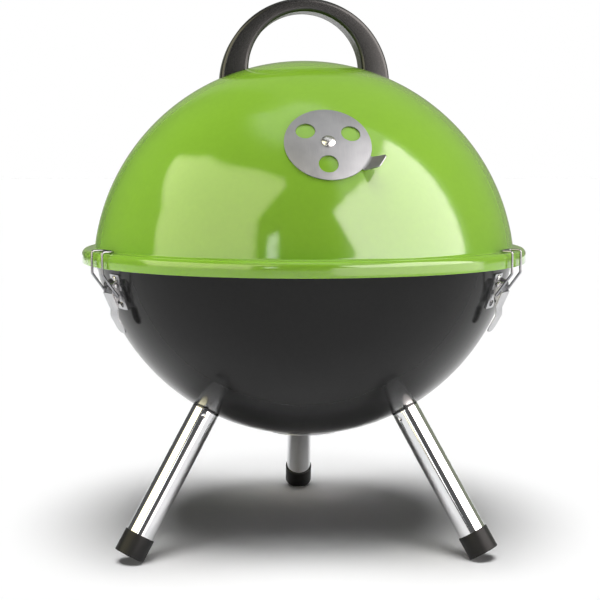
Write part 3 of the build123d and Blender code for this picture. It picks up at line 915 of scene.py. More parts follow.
@dataclass
class VentSet:
    """Turning vent disc on its rivet: sizes that the lid's and the bowl's share."""

    holes: int = 3
    hole_radius: float = 7.0
    ring_radius: float = 18.5
    disc_radius: float = 31.0
    disc_sheet: float = 0.8
    disc_gap: float = 0.3
    tab_width: float = 13.4
    tab_run: float = 1.2
    tab_height: float = 13.8
    tab_bend_angle: float = 58.0
    tab_bend_radius: float = 1.6
    tab_corner: float = 2.2
    rivet_radius: float = 2.5
    rivet_fit: float = 0.06
    head_radius: float = 4.9
    head_height: float = 1.9
    head_rim: float = 0.5
    clinch_height: float = 1.4
    clinch_edge: float = 0.4
    drill_reach: float = 8.0
    dish_steps: int = 40
    disc_grid: float = 1.5
    edge_break: float = 0.12

    def hole_places(self, phase: float) -> list[Point2]:
        """Centres of the holes round the rivet, from the angle of the first."""
        turns = [radians(phase + 360 / self.holes * i) for i in range(self.holes)]
        return [(self.ring_radius * cos(a), self.ring_radius * sin(a)) for a in turns]

    def shell_holes(self, spot: Spot, phase: float) -> list[tuple[Spot, float, float]]:
        """Holes that the shell has under the disc, half a step round from the disc's own.

        Args:
            spot: Where the rivet stands on the shell.
            phase: Angle of the disc's first hole, in degrees.

        Returns:
            Spot, radius and depth of each hole, the rivet's last.
        """
        centres = [Spot(spot.at(x, y), spot.x, spot.y, spot.z)
                   for x, y in self.hole_places(phase + 180 / self.holes)]
        through = [(centre, self.hole_radius, self.drill_reach) for centre in centres]
        return [*through, (spot, self.rivet_radius + KETTLE.seat_gap, self.drill_reach)]

    def _upper_side(self) -> list[Point2]:
        """Section of the disc's upper side, from its rivet out along the tab.

        Returns:
            Points as distance from the rivet's axis and height over the shell.
        """
        top = self.disc_gap + self.disc_sheet
        outer = KETTLE.shell_radius + self.disc_gap + self.disc_sheet
        slope = degrees(asin(self.disc_radius / outer))
        rim = (self.disc_radius, top - dish(outer, self.disc_radius))
        fall, rise = radians(-slope), radians(self.tab_bend_angle - slope)
        bend = (rim[0] + self.tab_run * cos(fall), rim[1] + self.tab_run * sin(fall))
        tip = (bend[0] + self.tab_height * cos(rise), bend[1] + self.tab_height * sin(rise))
        corners = [Vector((*p, 0)) for p in (rim, bend, tip)]
        bent = rounded_path(corners, [self.tab_bend_radius], steps=10)
        radii = [self.disc_radius * i / self.dish_steps for i in range(self.dish_steps)]
        return [*((r, top - dish(outer, r)) for r in radii), *((p.x, p.y) for p in bent)]

    def disc(self, name: str, spot: Spot, phase: float, tab_angle: float) -> Object:
        """Dished disc with its holes and its bent finger tab.

        Args:
            name: Name of the piece.
            spot: Where its rivet stands on the shell.
            phase: Angle of its first hole, in degrees.
            tab_angle: Angle of its tab, in degrees.

        Returns:
            The disc.
        """
        side = self._upper_side()
        lengths = path_lengths(side)
        rim_length = lengths[self.dish_steps]
        scale = rim_length / self.disc_radius

        def place(x: float, y: float, depth: float) -> Vector:
            """Press a point of the blank to the dish, and the tab up.

            Args:
                x: Level place on the blank.
                y: Place up the blank.
                depth: Depth below its upper side.

            Returns:
                The point.
            """
            flat = hypot(x, y)
            i, share = find_chord(lengths, flat)
            (r1, z1), (r2, z2) = side[i], side[i + 1]
            run = hypot(r2 - r1, z2 - z1)
            reach = (r1 + (r2 - r1) * share + (z2 - z1) / run * depth) / flat
            return spot.at(x * reach, y * reach, z1 + (z2 - z1) * share - (r2 - r1) / run * depth)

        turn = radians(tab_angle)
        half, corner = self.tab_width / 2, self.tab_corner
        end = lengths[-1] - corner
        root = asin(half / rim_length)
        edge = arc((0, 0), rim_length, degrees(turn + root), degrees(turn - root) + 360, steps=120)
        tongue = [*arc((end, corner - half), corner, -90, 0, steps=6),
                  *arc((end, half - corner), corner, 0, 90, steps=6)]
        turned = [(x * cos(turn) - y * sin(turn), x * sin(turn) + y * cos(turn)) for x, y in tongue]
        holes = [bore((x * scale, y * scale), self.hole_radius, 40) for x, y in self.hole_places(phase)]
        middle = bore((0, 0), self.rivet_radius + self.rivet_fit)
        mesh = bmesh.new()
        sheet(mesh, [[*edge, *turned], middle, *holes], self.disc_grid, self.disc_sheet, place)
        piece = finish_mesh(name, mesh)
        soften(piece, self.edge_break)
        add_map(piece, lambda p: ((p - spot.origin).dot(spot.x), (p - spot.origin).dot(spot.y)))
        return piece

    def rivet(self, name: str, spot: Spot) -> Object:
        """Rivet that the disc turns on, with a domed head outside and a clinch inside.

        Args:
            name: Name of the piece.
            spot: Where it stands on the shell.

        Returns:
            The rivet.
        """
        seat = self.disc_sheet + 2 * self.disc_gap
        inner = KETTLE.wall + dish(KETTLE.inner_radius, self.head_radius) + KETTLE.seat_gap
        rise = self.head_height - self.head_rim
        crown = (self.head_radius ** 2 + rise ** 2) / (2 * rise)
        spread = degrees(asin(self.head_radius / crown))
        dome = arc((0, seat + self.head_height - crown), crown, 90 - spread, 90, steps=12)
        end, edge = -inner - self.clinch_height, self.clinch_edge
        section = [(0, end), (self.head_radius - edge, end), (self.head_radius, end + edge),
                   (self.head_radius, -inner), (self.rivet_radius, -inner), (self.rivet_radius, seat),
                   (self.head_radius, seat), *dome[:-1], (0, seat + self.head_height)]
        mesh = bmesh.new()
        lathe(mesh, section, spot, segments=48)
        return finish_mesh(name, mesh)


@dataclass
class Lid:
    """Enamelled dome with a flanged rim, its arch handle and its vent."""

    vent: VentSet
    disc_phase: float = 26.0
    tab_angle: float = -32.0
    handle_inner_radius: float = 45.3
    handle_inner_drop: float = 7.2
    handle_crown: float = 10.5
    handle_spread: float = 11.8
    handle_width: float = 25.0
    handle_edge: float = 3.2
    screw_inset: float = 9.7
    screw_radius: float = 2.5
    screw_length: float = 11.0
    screw_point: float = 0.8
    head_radius: float = 4.2
    head_height: float = 2.8
    head_round: float = 0.9
    head_crown: Point2 = (1.0, 0.1)
    head_shoulder: float = 0.2
    recess_radius: float = 1.9
    recess_taper: float = 0.3
    recess_depth: float = 1.1
    washer_radius: float = 6.5
    washer_wall: float = 1.0
    drill_reach: float = 8.0
    crease: float = 35.0

    @property
    def vent_spot(self) -> Spot:
        """Where the vent's rivet stands."""
        return shell_spot(KETTLE.lid_centre, KETTLE.lid_turn - 90, KETTLE.lid_vent_angle)

    @property
    def screw_spots(self) -> list[Spot]:
        """Where the handle's two screws go through the dome.

        Returns:
            A spot for each screw.
        """
        reach = self.handle_inner_radius + self.screw_inset
        tilt = degrees(acos(reach / KETTLE.shell_radius))
        return [shell_spot(KETTLE.lid_centre, KETTLE.lid_turn + turn, tilt) for turn in (0, 180)]

    @staticmethod
    def _outside() -> list[tuple[Point2, Point2]]:
        """Outer side of the lid's section, from its top to its skirt.

        Returns:
            Each point as distance from the axis and height, with the direction into the wall.
        """
        k = KETTLE
        rise = k.flange_top + k.flange_root - k.lid_centre
        root = (sqrt((k.shell_radius + k.flange_root) ** 2 - rise ** 2), k.flange_top + k.flange_root)
        stop = degrees(atan2(rise, root[0]))
        side = [(p, (-p[0] / k.shell_radius, (k.lid_centre - p[1]) / k.shell_radius))
                for p in arc((0, k.lid_centre), k.shell_radius, 90, stop, steps=72)]
        side[0] = ((0.0, k.lid_top), (0.0, -1.0))
        for p in arc(root, k.flange_root, 180 + stop, 270, steps=10)[1:]:
            side.append((p, ((p[0] - root[0]) / k.flange_root, (p[1] - root[1]) / k.flange_root)))
        bend = (k.flange_radius - k.flange_shoulder, k.flange_top - k.flange_shoulder)
        for p in arc(bend, k.flange_shoulder, 90, 0, steps=12):
            side.append((p, ((bend[0] - p[0]) / k.flange_shoulder, (bend[1] - p[1]) / k.flange_shoulder)))
        low = k.flange_top - k.flange_depth + k.wall / 2
        side += [((k.flange_radius, bend[1] + (low - bend[1]) * i / 4), (-1.0, 0.0)) for i in range(1, 5)]
        return side

    def dome(self) -> Object:
        """Pressed shell of the lid, with a rounded lower edge and its holes.

        Returns:
            The shell.
        """
        side = self._outside()
        outer = [p for p, _ in side]
        inner = [(p[0] + n[0] * KETTLE.wall, p[1] + n[1] * KETTLE.wall) for p, n in reversed(side)]
        inner[-1] = (0.0, inner[-1][1])
        lip = KETTLE.wall / 2
        hem = arc((KETTLE.flange_radius - lip, outer[-1][1]), lip, 0, -180, steps=6)[1:-1]
        mesh = bmesh.new()
        lathe(mesh, [*outer, *hem, *inner], UPRIGHT, segments=256)
        piece = finish_mesh("lid_dome", mesh, self.crease)
        screws = [(spot, self.screw_radius + KETTLE.seat_gap, self.drill_reach) for spot in self.screw_spots]
        pierce(piece, [*self.vent.shell_holes(self.vent_spot, self.disc_phase), *screws], self.crease)
        return piece

    def handle(self) -> Object:
        """Moulded arch, thin at the top and wide at its feet, that sits on the dome.

        Returns:
            The handle.
        """
        turn = radians(KETTLE.lid_turn)
        spot = Spot(Vector((0, 0, KETTLE.lid_top)), Vector((cos(turn), sin(turn), 0)), Vector((0, 0, 1)),
                    Vector((sin(turn), -cos(turn), 0)))
        inner = self.handle_inner_radius
        outer = inner + self.handle_crown + self.handle_spread
        drops = (self.handle_inner_drop, self.handle_inner_drop + self.handle_spread)
        pivot = -sum(drops) / 2
        seat = KETTLE.shell_radius + KETTLE.seat_gap

        def edge(angle: float, radius: float, drop: float) -> float:
            """Distance from the pivot to one of the arcs at an angle."""
            lift = -drop - pivot
            return lift * sin(angle) + sqrt(radius ** 2 - (lift * cos(angle)) ** 2)

        def point(angle: float, depth: float, across: float) -> Vector:
            """Point of the arch.

            Args:
                angle: Angle round the pivot, in radians.
                depth: Depth below the outer side, or above the inner side if negative.
                across: Place across the width.

            Returns:
                The point.
            """
            near, far = edge(angle, inner, drops[0]), edge(angle, outer, drops[1])
            reach = far - depth if depth >= 0 else near - depth
            return spot.at(reach * cos(angle), pivot + reach * sin(angle), across)

        def foot(way: int, depth: float, across: float) -> float:
            """Angle at which a line along the arch meets the dome.

            Args:
                way: 1 for the right foot, -1 for the left.
                depth: Depth of the line, as for a point of the arch.
                across: Place of the line across the width.

            Returns:
                The angle in radians.
            """
            low, high = radians(-50), radians(90)
            for _ in range(50):
                middle = (low + high) / 2
                at = point(middle if way > 0 else pi - middle, depth, across)
                inside_dome = (at - Vector((0, 0, KETTLE.lid_centre))).length < seat
                low, high = (middle, high) if inside_dome else (low, middle)
            return high if way > 0 else pi - high

        half, r = self.handle_width / 2, self.handle_edge
        ring = [(r - r * cos(a), half - r + r * sin(a)) for a in (pi / 2 * i / 8 for i in range(9))]
        crown = [(0.0, (half - r) * share) for share in (-0.5, 0.0, 0.5)]
        outer_side = [*((depth, -across) for depth, across in reversed(ring)), *crown, *ring]
        inner_side = [(-max(d, 1e-6), w) for d, w in reversed(outer_side)]
        steps = 96
        mesh = bmesh.new()
        lines = []
        for depth, across in [*outer_side, *inner_side]:
            start, end = foot(1, depth, across), foot(-1, depth, across)
            angles = [start + (end - start) * i / steps for i in range(steps + 1)]
            lines.append([mesh.verts.new(point(a, depth, across)) for a in angles])
        for line, after in zip(lines, [*lines[1:], lines[0]]):
            for i in range(steps):
                mesh.faces.new((line[i], line[i + 1], after[i + 1], after[i]))
        mesh.faces.new([line[0] for line in lines])
        mesh.faces.new([line[-1] for line in reversed(lines)])
        return finish_mesh("lid_handle_arch", mesh)

    def build(self, shop: Workshop) -> None:
        """Make and dress the lid's pieces.

        Args:
            shop: What they are made with.
        """
        enamel, zinc = shop.finish(GREEN_ENAMEL), shop.finish(ZINC)
        deliver(self.dome(), "lid", "lid_enamel", enamel, "lid_shell")
        deliver(self.handle(), "lid", "handle_phenolic", shop.finish(PHENOLIC), "lid_handle")
        disc = self.vent.disc("lid_vent_disc", self.vent_spot, self.disc_phase, self.tab_angle)
        deliver(disc, "lid_damper", "damper_steel", shop.finish(BRUSHED_STEEL), "lid_damper")
        rivet = self.vent.rivet("lid_vent_rivet_set", self.vent_spot)
        deliver(rivet, "lid", "rivet_aluminium", shop.finish(ALUMINIUM), "lid_vent_rivet")
        seat = KETTLE.wall + dish(KETTLE.inner_radius, self.washer_radius) + KETTLE.seat_gap
        ring = washer_section(self.screw_radius + KETTLE.seat_gap, self.washer_radius, seat, self.washer_wall)
        spots = self.screw_spots
        washers = shop.forms.fasteners("handle_washer_pair", ring, spots, zinc, segments=40, closed=True)
        deliver(washers, "lid", "zinc_steel", zinc, "handle_washers")
        top, shank, head, turn = seat + self.washer_wall, self.screw_radius, self.head_radius, self.head_round
        low, reach = top + self.head_height, self.screw_length - shank
        (inset, rise), floor = self.head_crown, -low + self.recess_depth
        screw = [(0, floor), (self.recess_radius - self.recess_taper, floor), (self.recess_radius, -low),
                 (head - inset, -low + rise), (head - self.head_shoulder, -low + turn), (head, -top - turn),
                 (head, -top), (shank, -top), (shank, reach - self.screw_point),
                 (shank - self.screw_point, reach), (0, reach)]
        screws = shop.forms.fasteners("handle_screw_pair", screw, spots, zinc)
        deliver(screws, "lid", "zinc_steel", zinc, "handle_screws")


@dataclass
class Bowl:
    """Black bowl with a wired edge, its vent, the grate brackets and the two grates."""

    vent: VentSet
    disc_phase: float = 60.0
    tab_angle: float = 0.0
    drill_reach: float = 4.0
    crease: float = 50.0
    bracket_width: float = 14.0
    bracket_ledge: float = 15.0
    bracket_corner: float = 1.0
    bracket_top: float = 8.4
    bracket_bottom: float = -20.6
    bracket_grid: float = 2.0
    ledge_grid: float = 3.0
    edge_break: float = 0.15
    cooking_wall_gap: float = 3.3
    cooking_pitch: float = 13.0
    cooking_rod_at: float = 55.0
    charcoal_ring_radius: float = 115.0
    charcoal_pitch: float = 15.0
    charcoal_rod_at: float = 42.0
    ring_wire: float = 2.5
    bar_wire: float = 1.75
    weld_depth: float = 0.5
    grate_seat_gap: float = 0.3

    @property
    def vent_spot(self) -> Spot:
        """Where the bottom vent's rivet stands."""
        return shell_spot(KETTLE.bowl_centre, azimuth=0, elevation=-90)

    @property
    def ledge_top(self) -> float:
        """Height of the brackets' ledges."""
        return KETTLE.rim_top - KETTLE.latch_drop + self.bracket_top

    def shell(self) -> Object:
        """Pressed shell of the bowl, rolled round a wire at its edge, with its holes.

        Returns:
            The shell.
        """
        k = KETTLE
        height = k.rim_top - k.bead_radius
        inner_stop = degrees(asin((height - k.bowl_centre) / k.inner_radius))
        bead = (k.inner_radius * cos(radians(inner_stop)) + k.bead_radius, height)
        stop = inner_stop
        while hypot(k.shell_radius * cos(radians(stop)) - bead[0],
                    k.bowl_centre + k.shell_radius * sin(radians(stop)) - bead[1]) < k.bead_radius:
            stop -= 0.01
        meet = (k.shell_radius * cos(radians(stop)), k.bowl_centre + k.shell_radius * sin(radians(stop)))
        first = degrees(atan2(meet[1] - bead[1], meet[0] - bead[0]))
        section = [*arc((0, k.bowl_centre), k.shell_radius, -90, stop, steps=72),
                   *arc(bead, k.bead_radius, first, 180, steps=24)[1:-1],
                   *arc((0, k.bowl_centre), k.inner_radius, inner_stop, -90, steps=72)]
        section[0], section[-1] = (0.0, section[0][1]), (0.0, section[-1][1])
        mesh = bmesh.new()
        lathe(mesh, section, UPRIGHT, segments=256)
        piece = finish_mesh("bowl_pressing", mesh, self.crease)
        holes = self.vent.shell_holes(self.vent_spot, self.disc_phase)
        for side in Side:
            leg = shell_spot(k.bowl_centre, side.value, k.leg_splay - 90)
            holes.append((leg, k.bolt_radius + k.seat_gap, self.drill_reach))
            holes += [(rivet, k.rivet_radius + k.seat_gap, self.drill_reach) for rivet in rivet_spots(side)]
        pierce(piece, holes, self.crease)
        return piece

    def bracket(self, side: Side) -> Object:
        """Strip pressed to the inside of the bowl, folded level at the top to carry the cooking grate.

        Args:
            side: Leg that it stands over.

        Returns:
            The bracket.
        """
        k = KETTLE
        spot = latch_spot(side)
        outer = k.inner_radius - k.seat_gap
        inner = outer - k.bracket_sheet
        centre = Vector((0, 0, k.bowl_centre))
        wall = sqrt(inner ** 2 - (k.bowl_centre - self.ledge_top) ** 2)
        out = Vector((cos(radians(side.value)), sin(radians(side.value)), 0))

        def pressed(x: float, y: float, depth: float) -> Vector:
            """Point of the strip against the wall of the bowl."""
            way = (spot.at(x, y) - centre).normalized()
            return centre + way * (outer - depth)

        def level(x: float, y: float, depth: float) -> Vector:
            """Point of the ledge, y in from the wall."""
            place = out * (wall + k.bracket_sheet / 2 - y) + spot.x * x
            return Vector((place.x, place.y, self.ledge_top - depth))

        mesh = bmesh.new()
        strip = rounded_box(self.bracket_width, self.bracket_bottom, self.bracket_top, self.bracket_corner)
        sheet(mesh, [strip, *rivet_bores(side)], self.bracket_grid, k.bracket_sheet, pressed)
        ledge = rounded_box(self.bracket_width, 0, self.bracket_ledge, self.bracket_corner)
        sheet(mesh, [ledge], self.ledge_grid, k.bracket_sheet, level)
        piece = finish_mesh(f"grate_bracket_strip_{side.tag}", mesh)
        soften(piece, self.edge_break)
        return piece

    def build(self, shop: Workshop) -> None:
        """Make and dress the bowl, its vent, the brackets and the grates.

        Args:
            shop: What they are made with.
        """
        k = KETTLE
        zinc, chrome = shop.finish(ZINC), shop.finish(GRATE_CHROME)
        deliver(self.shell(), "kettle", "bowl_enamel", shop.finish(BLACK_ENAMEL), "bowl_shell")
        disc = self.vent.disc("bottom_vent_disc", self.vent_spot, self.disc_phase, self.tab_angle)
        deliver(disc, "bottom_damper", "damper_steel", shop.finish(BRUSHED_STEEL), "bottom_damper")
        rivet = self.vent.rivet("bottom_vent_rivet_set", self.vent_spot)
        deliver(rivet, "kettle", "rivet_aluminium", shop.finish(ALUMINIUM), "bottom_vent_rivet")
        for side in Side:
            deliver(self.bracket(side), "kettle", "zinc_steel", zinc, f"grate_bracket_{side.tag}")
        cooking_height = self.ledge_top + self.grate_seat_gap + self.ring_wire
        wall = sqrt(k.inner_radius ** 2 - (k.bowl_centre - cooking_height) ** 2)
        charcoal_seat = k.inner_radius - self.ring_wire - self.grate_seat_gap
        charcoal_height = k.bowl_centre - sqrt(charcoal_seat ** 2 - self.charcoal_ring_radius ** 2)
        cooking_radius = wall - self.cooking_wall_gap - self.ring_wire
        grates = (("cooking_grate", cooking_radius, cooking_height, self.cooking_pitch, self.cooking_rod_at),
                  ("charcoal_grate", self.charcoal_ring_radius, charcoal_height, self.charcoal_pitch,
                   self.charcoal_rod_at))
        for name, radius, height, pitch, rod_at in grates:
            sizes = {"Ring Radius": radius, "Height": height, "Pitch": pitch, "Bar Wire": self.bar_wire,
                     "Ring Wire": self.ring_wire, "Rod Offset": rod_at,
                     "Rod Reach": sqrt(radius ** 2 - rod_at ** 2) - 2 * self.ring_wire,
                     "Rod Height": height - self.bar_wire - self.ring_wire + self.weld_depth}
            bars = 2 * int(radius / pitch - 0.5) + 1
            piece = shop.forms.grate(f"{name}_wires", sizes, bars, chrome)
            deliver(piece, name, "grate_chrome", chrome, name)


@dataclass
class Legs:
    """Three chromed tubes that point at the centre of the bowl, with their feet, plugs and bolts."""

    tube_radius: float = 11.0
    tube_wall: float = 1.2
    crimp_at: float = 6.0
    crimp_count: int = 3
    crimp_starts: tuple[float, float, float] = (67.0, 25.6, 74.4)
    crimp_radius: float = 2.2
    crimp_depth: float = 0.7
    crimp_reach: float = 3.8
    crimp_step: float = 0.2
    dent_depth: float = 0.09
    dent_reach: Point2 = (0.7, 2.2)
    tube_edge: float = 0.15
    tube_trim: float = 0.12
    tube_rows: int = 24
    tube_segments: int = 224
    plug_length: float = 20.0
    plug_fit: float = 0.05
    plug_edge: float = 0.6
    bolt_length: float = 15.0
    bolt_point: float = 0.8
    bolt_head_radius: float = 5.6
    bolt_head_height: float = 4.0
    bolt_head_edge: float = 0.7
    bolt_head_flat: float = 0.84
    washer_radius: float = 9.0
    washer_wall: float = 1.0
    foot_radius: float = 12.0
    foot_length: float = 18.0
    foot_floor: float = 5.0
    foot_edge: float = 0.8
    foot_lip: float = 0.35
    foot_flat: float = 1.0

    @property
    def foot_end(self) -> float:
        """Length of a leg from the bowl's skin to the end of its foot."""
        splay = radians(KETTLE.leg_splay)
        drop = KETTLE.bowl_centre + self.foot_flat - self.foot_radius * sin(splay)
        return drop / cos(splay) - KETTLE.shell_radius

    def _dimple(self, start: float, turn: float, along: float) -> float:
        """Depth of the crimps at a point of the tube.

        Args:
            start: Where round the tube the first crimp is, in degrees.
            turn: Where round the tube the point is, in radians.
            along: How far down the tube the point is.

        Returns:
            Depth below the tube's round face.
        """
        depth = 0.0
        ball = self.crimp_radius - self.crimp_depth
        near, far = (share * sqrt(self.crimp_radius ** 2 - ball ** 2) for share in self.dent_reach)
        for i in range(self.crimp_count):
            middle = radians(start + 360 / self.crimp_count * i)
            aside = self.tube_radius * ((turn - middle + pi) % (2 * pi) - pi)
            away = hypot(aside, along - self.crimp_at)
            if away < self.crimp_radius:
                depth = max(depth, sqrt(self.crimp_radius ** 2 - away ** 2) - ball)
            if near < away < far:
                depth = max(depth, self.dent_depth * (1 - (away - near) / (far - near)) ** 2)
        return depth

    def tube(self, side: Side, spot: Spot) -> Object:
        """Tube with crimp dimples near its top, cut to the bowl's curve.

        Args:
            side: Which leg.
            spot: Where its axis meets the bowl.

        Returns:
            The tube.
        """
        end = self.foot_end - self.foot_floor
        seat = KETTLE.shell_radius + KETTLE.seat_gap
        inner = self.tube_radius - self.tube_wall
        top_out = sqrt(seat ** 2 - self.tube_radius ** 2) - KETTLE.shell_radius
        top_in = sqrt(seat ** 2 - inner ** 2) - KETTLE.shell_radius
        rows = 2 * round(self.crimp_reach / self.crimp_step) + 1
        zone = [self.crimp_at - self.crimp_reach + self.crimp_step * i for i in range(rows)]
        rest = end - self.tube_edge - zone[-1]
        plain = [zone[-1] + rest * (i + 1) / self.tube_rows for i in range(self.tube_rows)]
        run = [top_out, top_out + self.tube_edge, *zone, *plain, end]
        start = self.crimp_starts[list(Side).index(side)]
        segments = self.tube_segments
        turns = [2 * pi * i / segments for i in range(segments)]
        mesh = bmesh.new()
        rings = []
        for along in run:
            trim = self.tube_trim if along in (run[0], run[-1]) else 0.0
            radii = [self.tube_radius - trim - self._dimple(start, a, along) for a in turns]
            places = [spot.at(r * cos(a), r * sin(a), along) for a, r in zip(turns, radii)]
            rings.append([mesh.verts.new(place) for place in places])
        for along in (end, zone[-1], top_in):
            rings.append([mesh.verts.new(spot.at(inner * cos(a), inner * sin(a), along)) for a in turns])
        for ring, after in zip(rings, [*rings[1:], rings[0]]):
            for i in range(segments):
                j = (i + 1) % segments
                mesh.faces.new((ring[i], ring[j], after[j], after[i]))
        piece = finish_mesh(f"leg_tube_drawn_{side.tag}", mesh, crease=50.0)
        add_map(piece, lambda p: (self._around(p, spot), (p - spot.origin).dot(spot.z)))
        return piece

    def _around(self, point: Vector, spot: Spot) -> float:
        """Distance round the tube from its level side, folded so that it meets itself."""
        away = point - spot.origin
        return abs(atan2(away.dot(spot.y), away.dot(spot.x))) * self.tube_radius

    def foot(self, side: Side, spot: Spot) -> Object:
        """Moulded cap with a lip round the tube, cut level where it stands.

        Args:
            side: Which leg.
            spot: Where its axis meets the bowl.

        Returns:
            The cap.
        """
        end, lip, wide = self.foot_end, self.foot_lip, self.foot_radius
        hole, floor = self.tube_radius + self.plug_fit, end - self.foot_floor + KETTLE.seat_gap
        top = end - self.foot_length
        mouth = [(hole, top + lip * 0.5), *arc((hole + lip, top + lip), lip, 180, 270, steps=3)[1:]]
        shoulder = arc((wide - lip, top + lip), lip, 270, 360, steps=5)
        bottom = arc((wide - self.foot_edge, end - self.foot_edge), self.foot_edge, 0, 90, steps=6)
        section = [(0, floor), (hole, floor), *mouth, *shoulder, *bottom, (0, end)]
        mesh = bmesh.new()
        lathe(mesh, section, spot, segments=96)
        bmesh.ops.remove_doubles(mesh, verts=mesh.verts, dist=1e-4)
        geometry = [*mesh.verts, *mesh.edges, *mesh.faces]
        cut = bmesh.ops.bisect_plane(mesh, geom=geometry, plane_co=(0, 0, 0), plane_no=(0, 0, -1),
                                     clear_outer=True)
        rim = [edge for edge in cut["geom_cut"] if isinstance(edge, BMEdge)]
        bmesh.ops.contextual_create(mesh, geom=rim)
        return finish_mesh(f"foot_cap_moulded_{side.tag}", mesh)

    def plug(self, side: Side, spot: Spot) -> Object:
        """Threaded plug inside the tube's top.

        Args:
            side: Which leg.
            spot: Where its axis meets the bowl.

        Returns:
            The plug.
        """
        radius, hole = self.tube_radius - self.tube_wall - self.plug_fit, KETTLE.bolt_radius + KETTLE.seat_gap
        seat = KETTLE.shell_radius + KETTLE.seat_gap
        top = [(r, sqrt(seat ** 2 - r ** 2) - KETTLE.shell_radius) for r in (radius, radius * 0.7, hole)]
        end = self.plug_length - dish(KETTLE.shell_radius, self.tube_radius - self.tube_wall)
        mesh = bmesh.new()
        section = [*top, (hole, end), (radius - self.plug_edge, end), (radius, end - self.plug_edge)]
        lathe(mesh, section, spot, closed=True)
        return finish_mesh(f"leg_plug_turned_{side.tag}", mesh)

    def build(self, shop: Workshop) -> None:
        """Make and dress the legs.

        Args:
            shop: What they are made with.
        """
        zinc = shop.finish(ZINC)
        spots = {side: shell_spot(KETTLE.bowl_centre, side.value, KETTLE.leg_splay - 90) for side in Side}
        kinds = ((self.tube, "leg_chrome", CHROME_TUBE, "leg_tube"),
                 (self.foot, "foot_plastic", FOOT_PLASTIC, "foot_cap"),
                 (self.plug, "plug_nylon", NYLON, "leg_plug"))
        for side, spot in spots.items():
            for make, slot, kind, node in kinds:
                deliver(make(side, spot), "kettle", slot, shop.finish(kind), f"{node}_{side.tag}")
        seat = KETTLE.wall + dish(KETTLE.inner_radius, self.washer_radius) + KETTLE.seat_gap
        hole = KETTLE.bolt_radius + KETTLE.seat_gap
        ring = washer_section(hole, self.washer_radius, seat, self.washer_wall)
        places = list(spots.values())
        washers = shop.forms.fasteners("leg_washer_set", ring, places, zinc, segments=48, closed=True)
        deliver(washers, "kettle", "zinc_steel", zinc, "leg_washers")
        bolts = self._bolts(shop, places, seat + self.washer_wall, zinc)
        deliver(bolts, "kettle", "zinc_steel", zinc, "leg_bolts")

    def _bolts(self, shop: Workshop, spots: Sequence[Spot], seat: float, zinc: Material) -> Object:
        """Hexagon bolts: heads of six flats on a chamfered crown, and round shanks.

        Args:
            shop: What they are made with.
            spots: Where they stand.
            seat: How far their heads' seats are below the skin.
            zinc: Their material.

        Returns:
            All the bolts as one piece.
        """
        radius, end = self.bolt_head_radius, seat + self.bolt_head_height
        thread, point = KETTLE.bolt_radius, self.bolt_point
        shank = [(0, -seat), (thread, -seat), (thread, self.bolt_length - point),
                 (thread - point, self.bolt_length), (0, self.bolt_length)]
        shanks = shop.forms.fasteners("leg_bolt_set", shank, spots, zinc)
        head = [(0, -end), (radius * self.bolt_head_flat, -end), (radius, -end + self.bolt_head_edge),
                (radius, -seat), (0, -seat)]
        heads = shop.forms.fasteners("leg_bolt_heads", head, spots, zinc, segments=6)
        joined = bmesh.new()
        joined.from_mesh(shanks.data)
        joined.from_mesh(heads.data)
        joined.to_mesh(shanks.data)
        joined.free()
        bpy.data.objects.remove(heads)
        return shanks


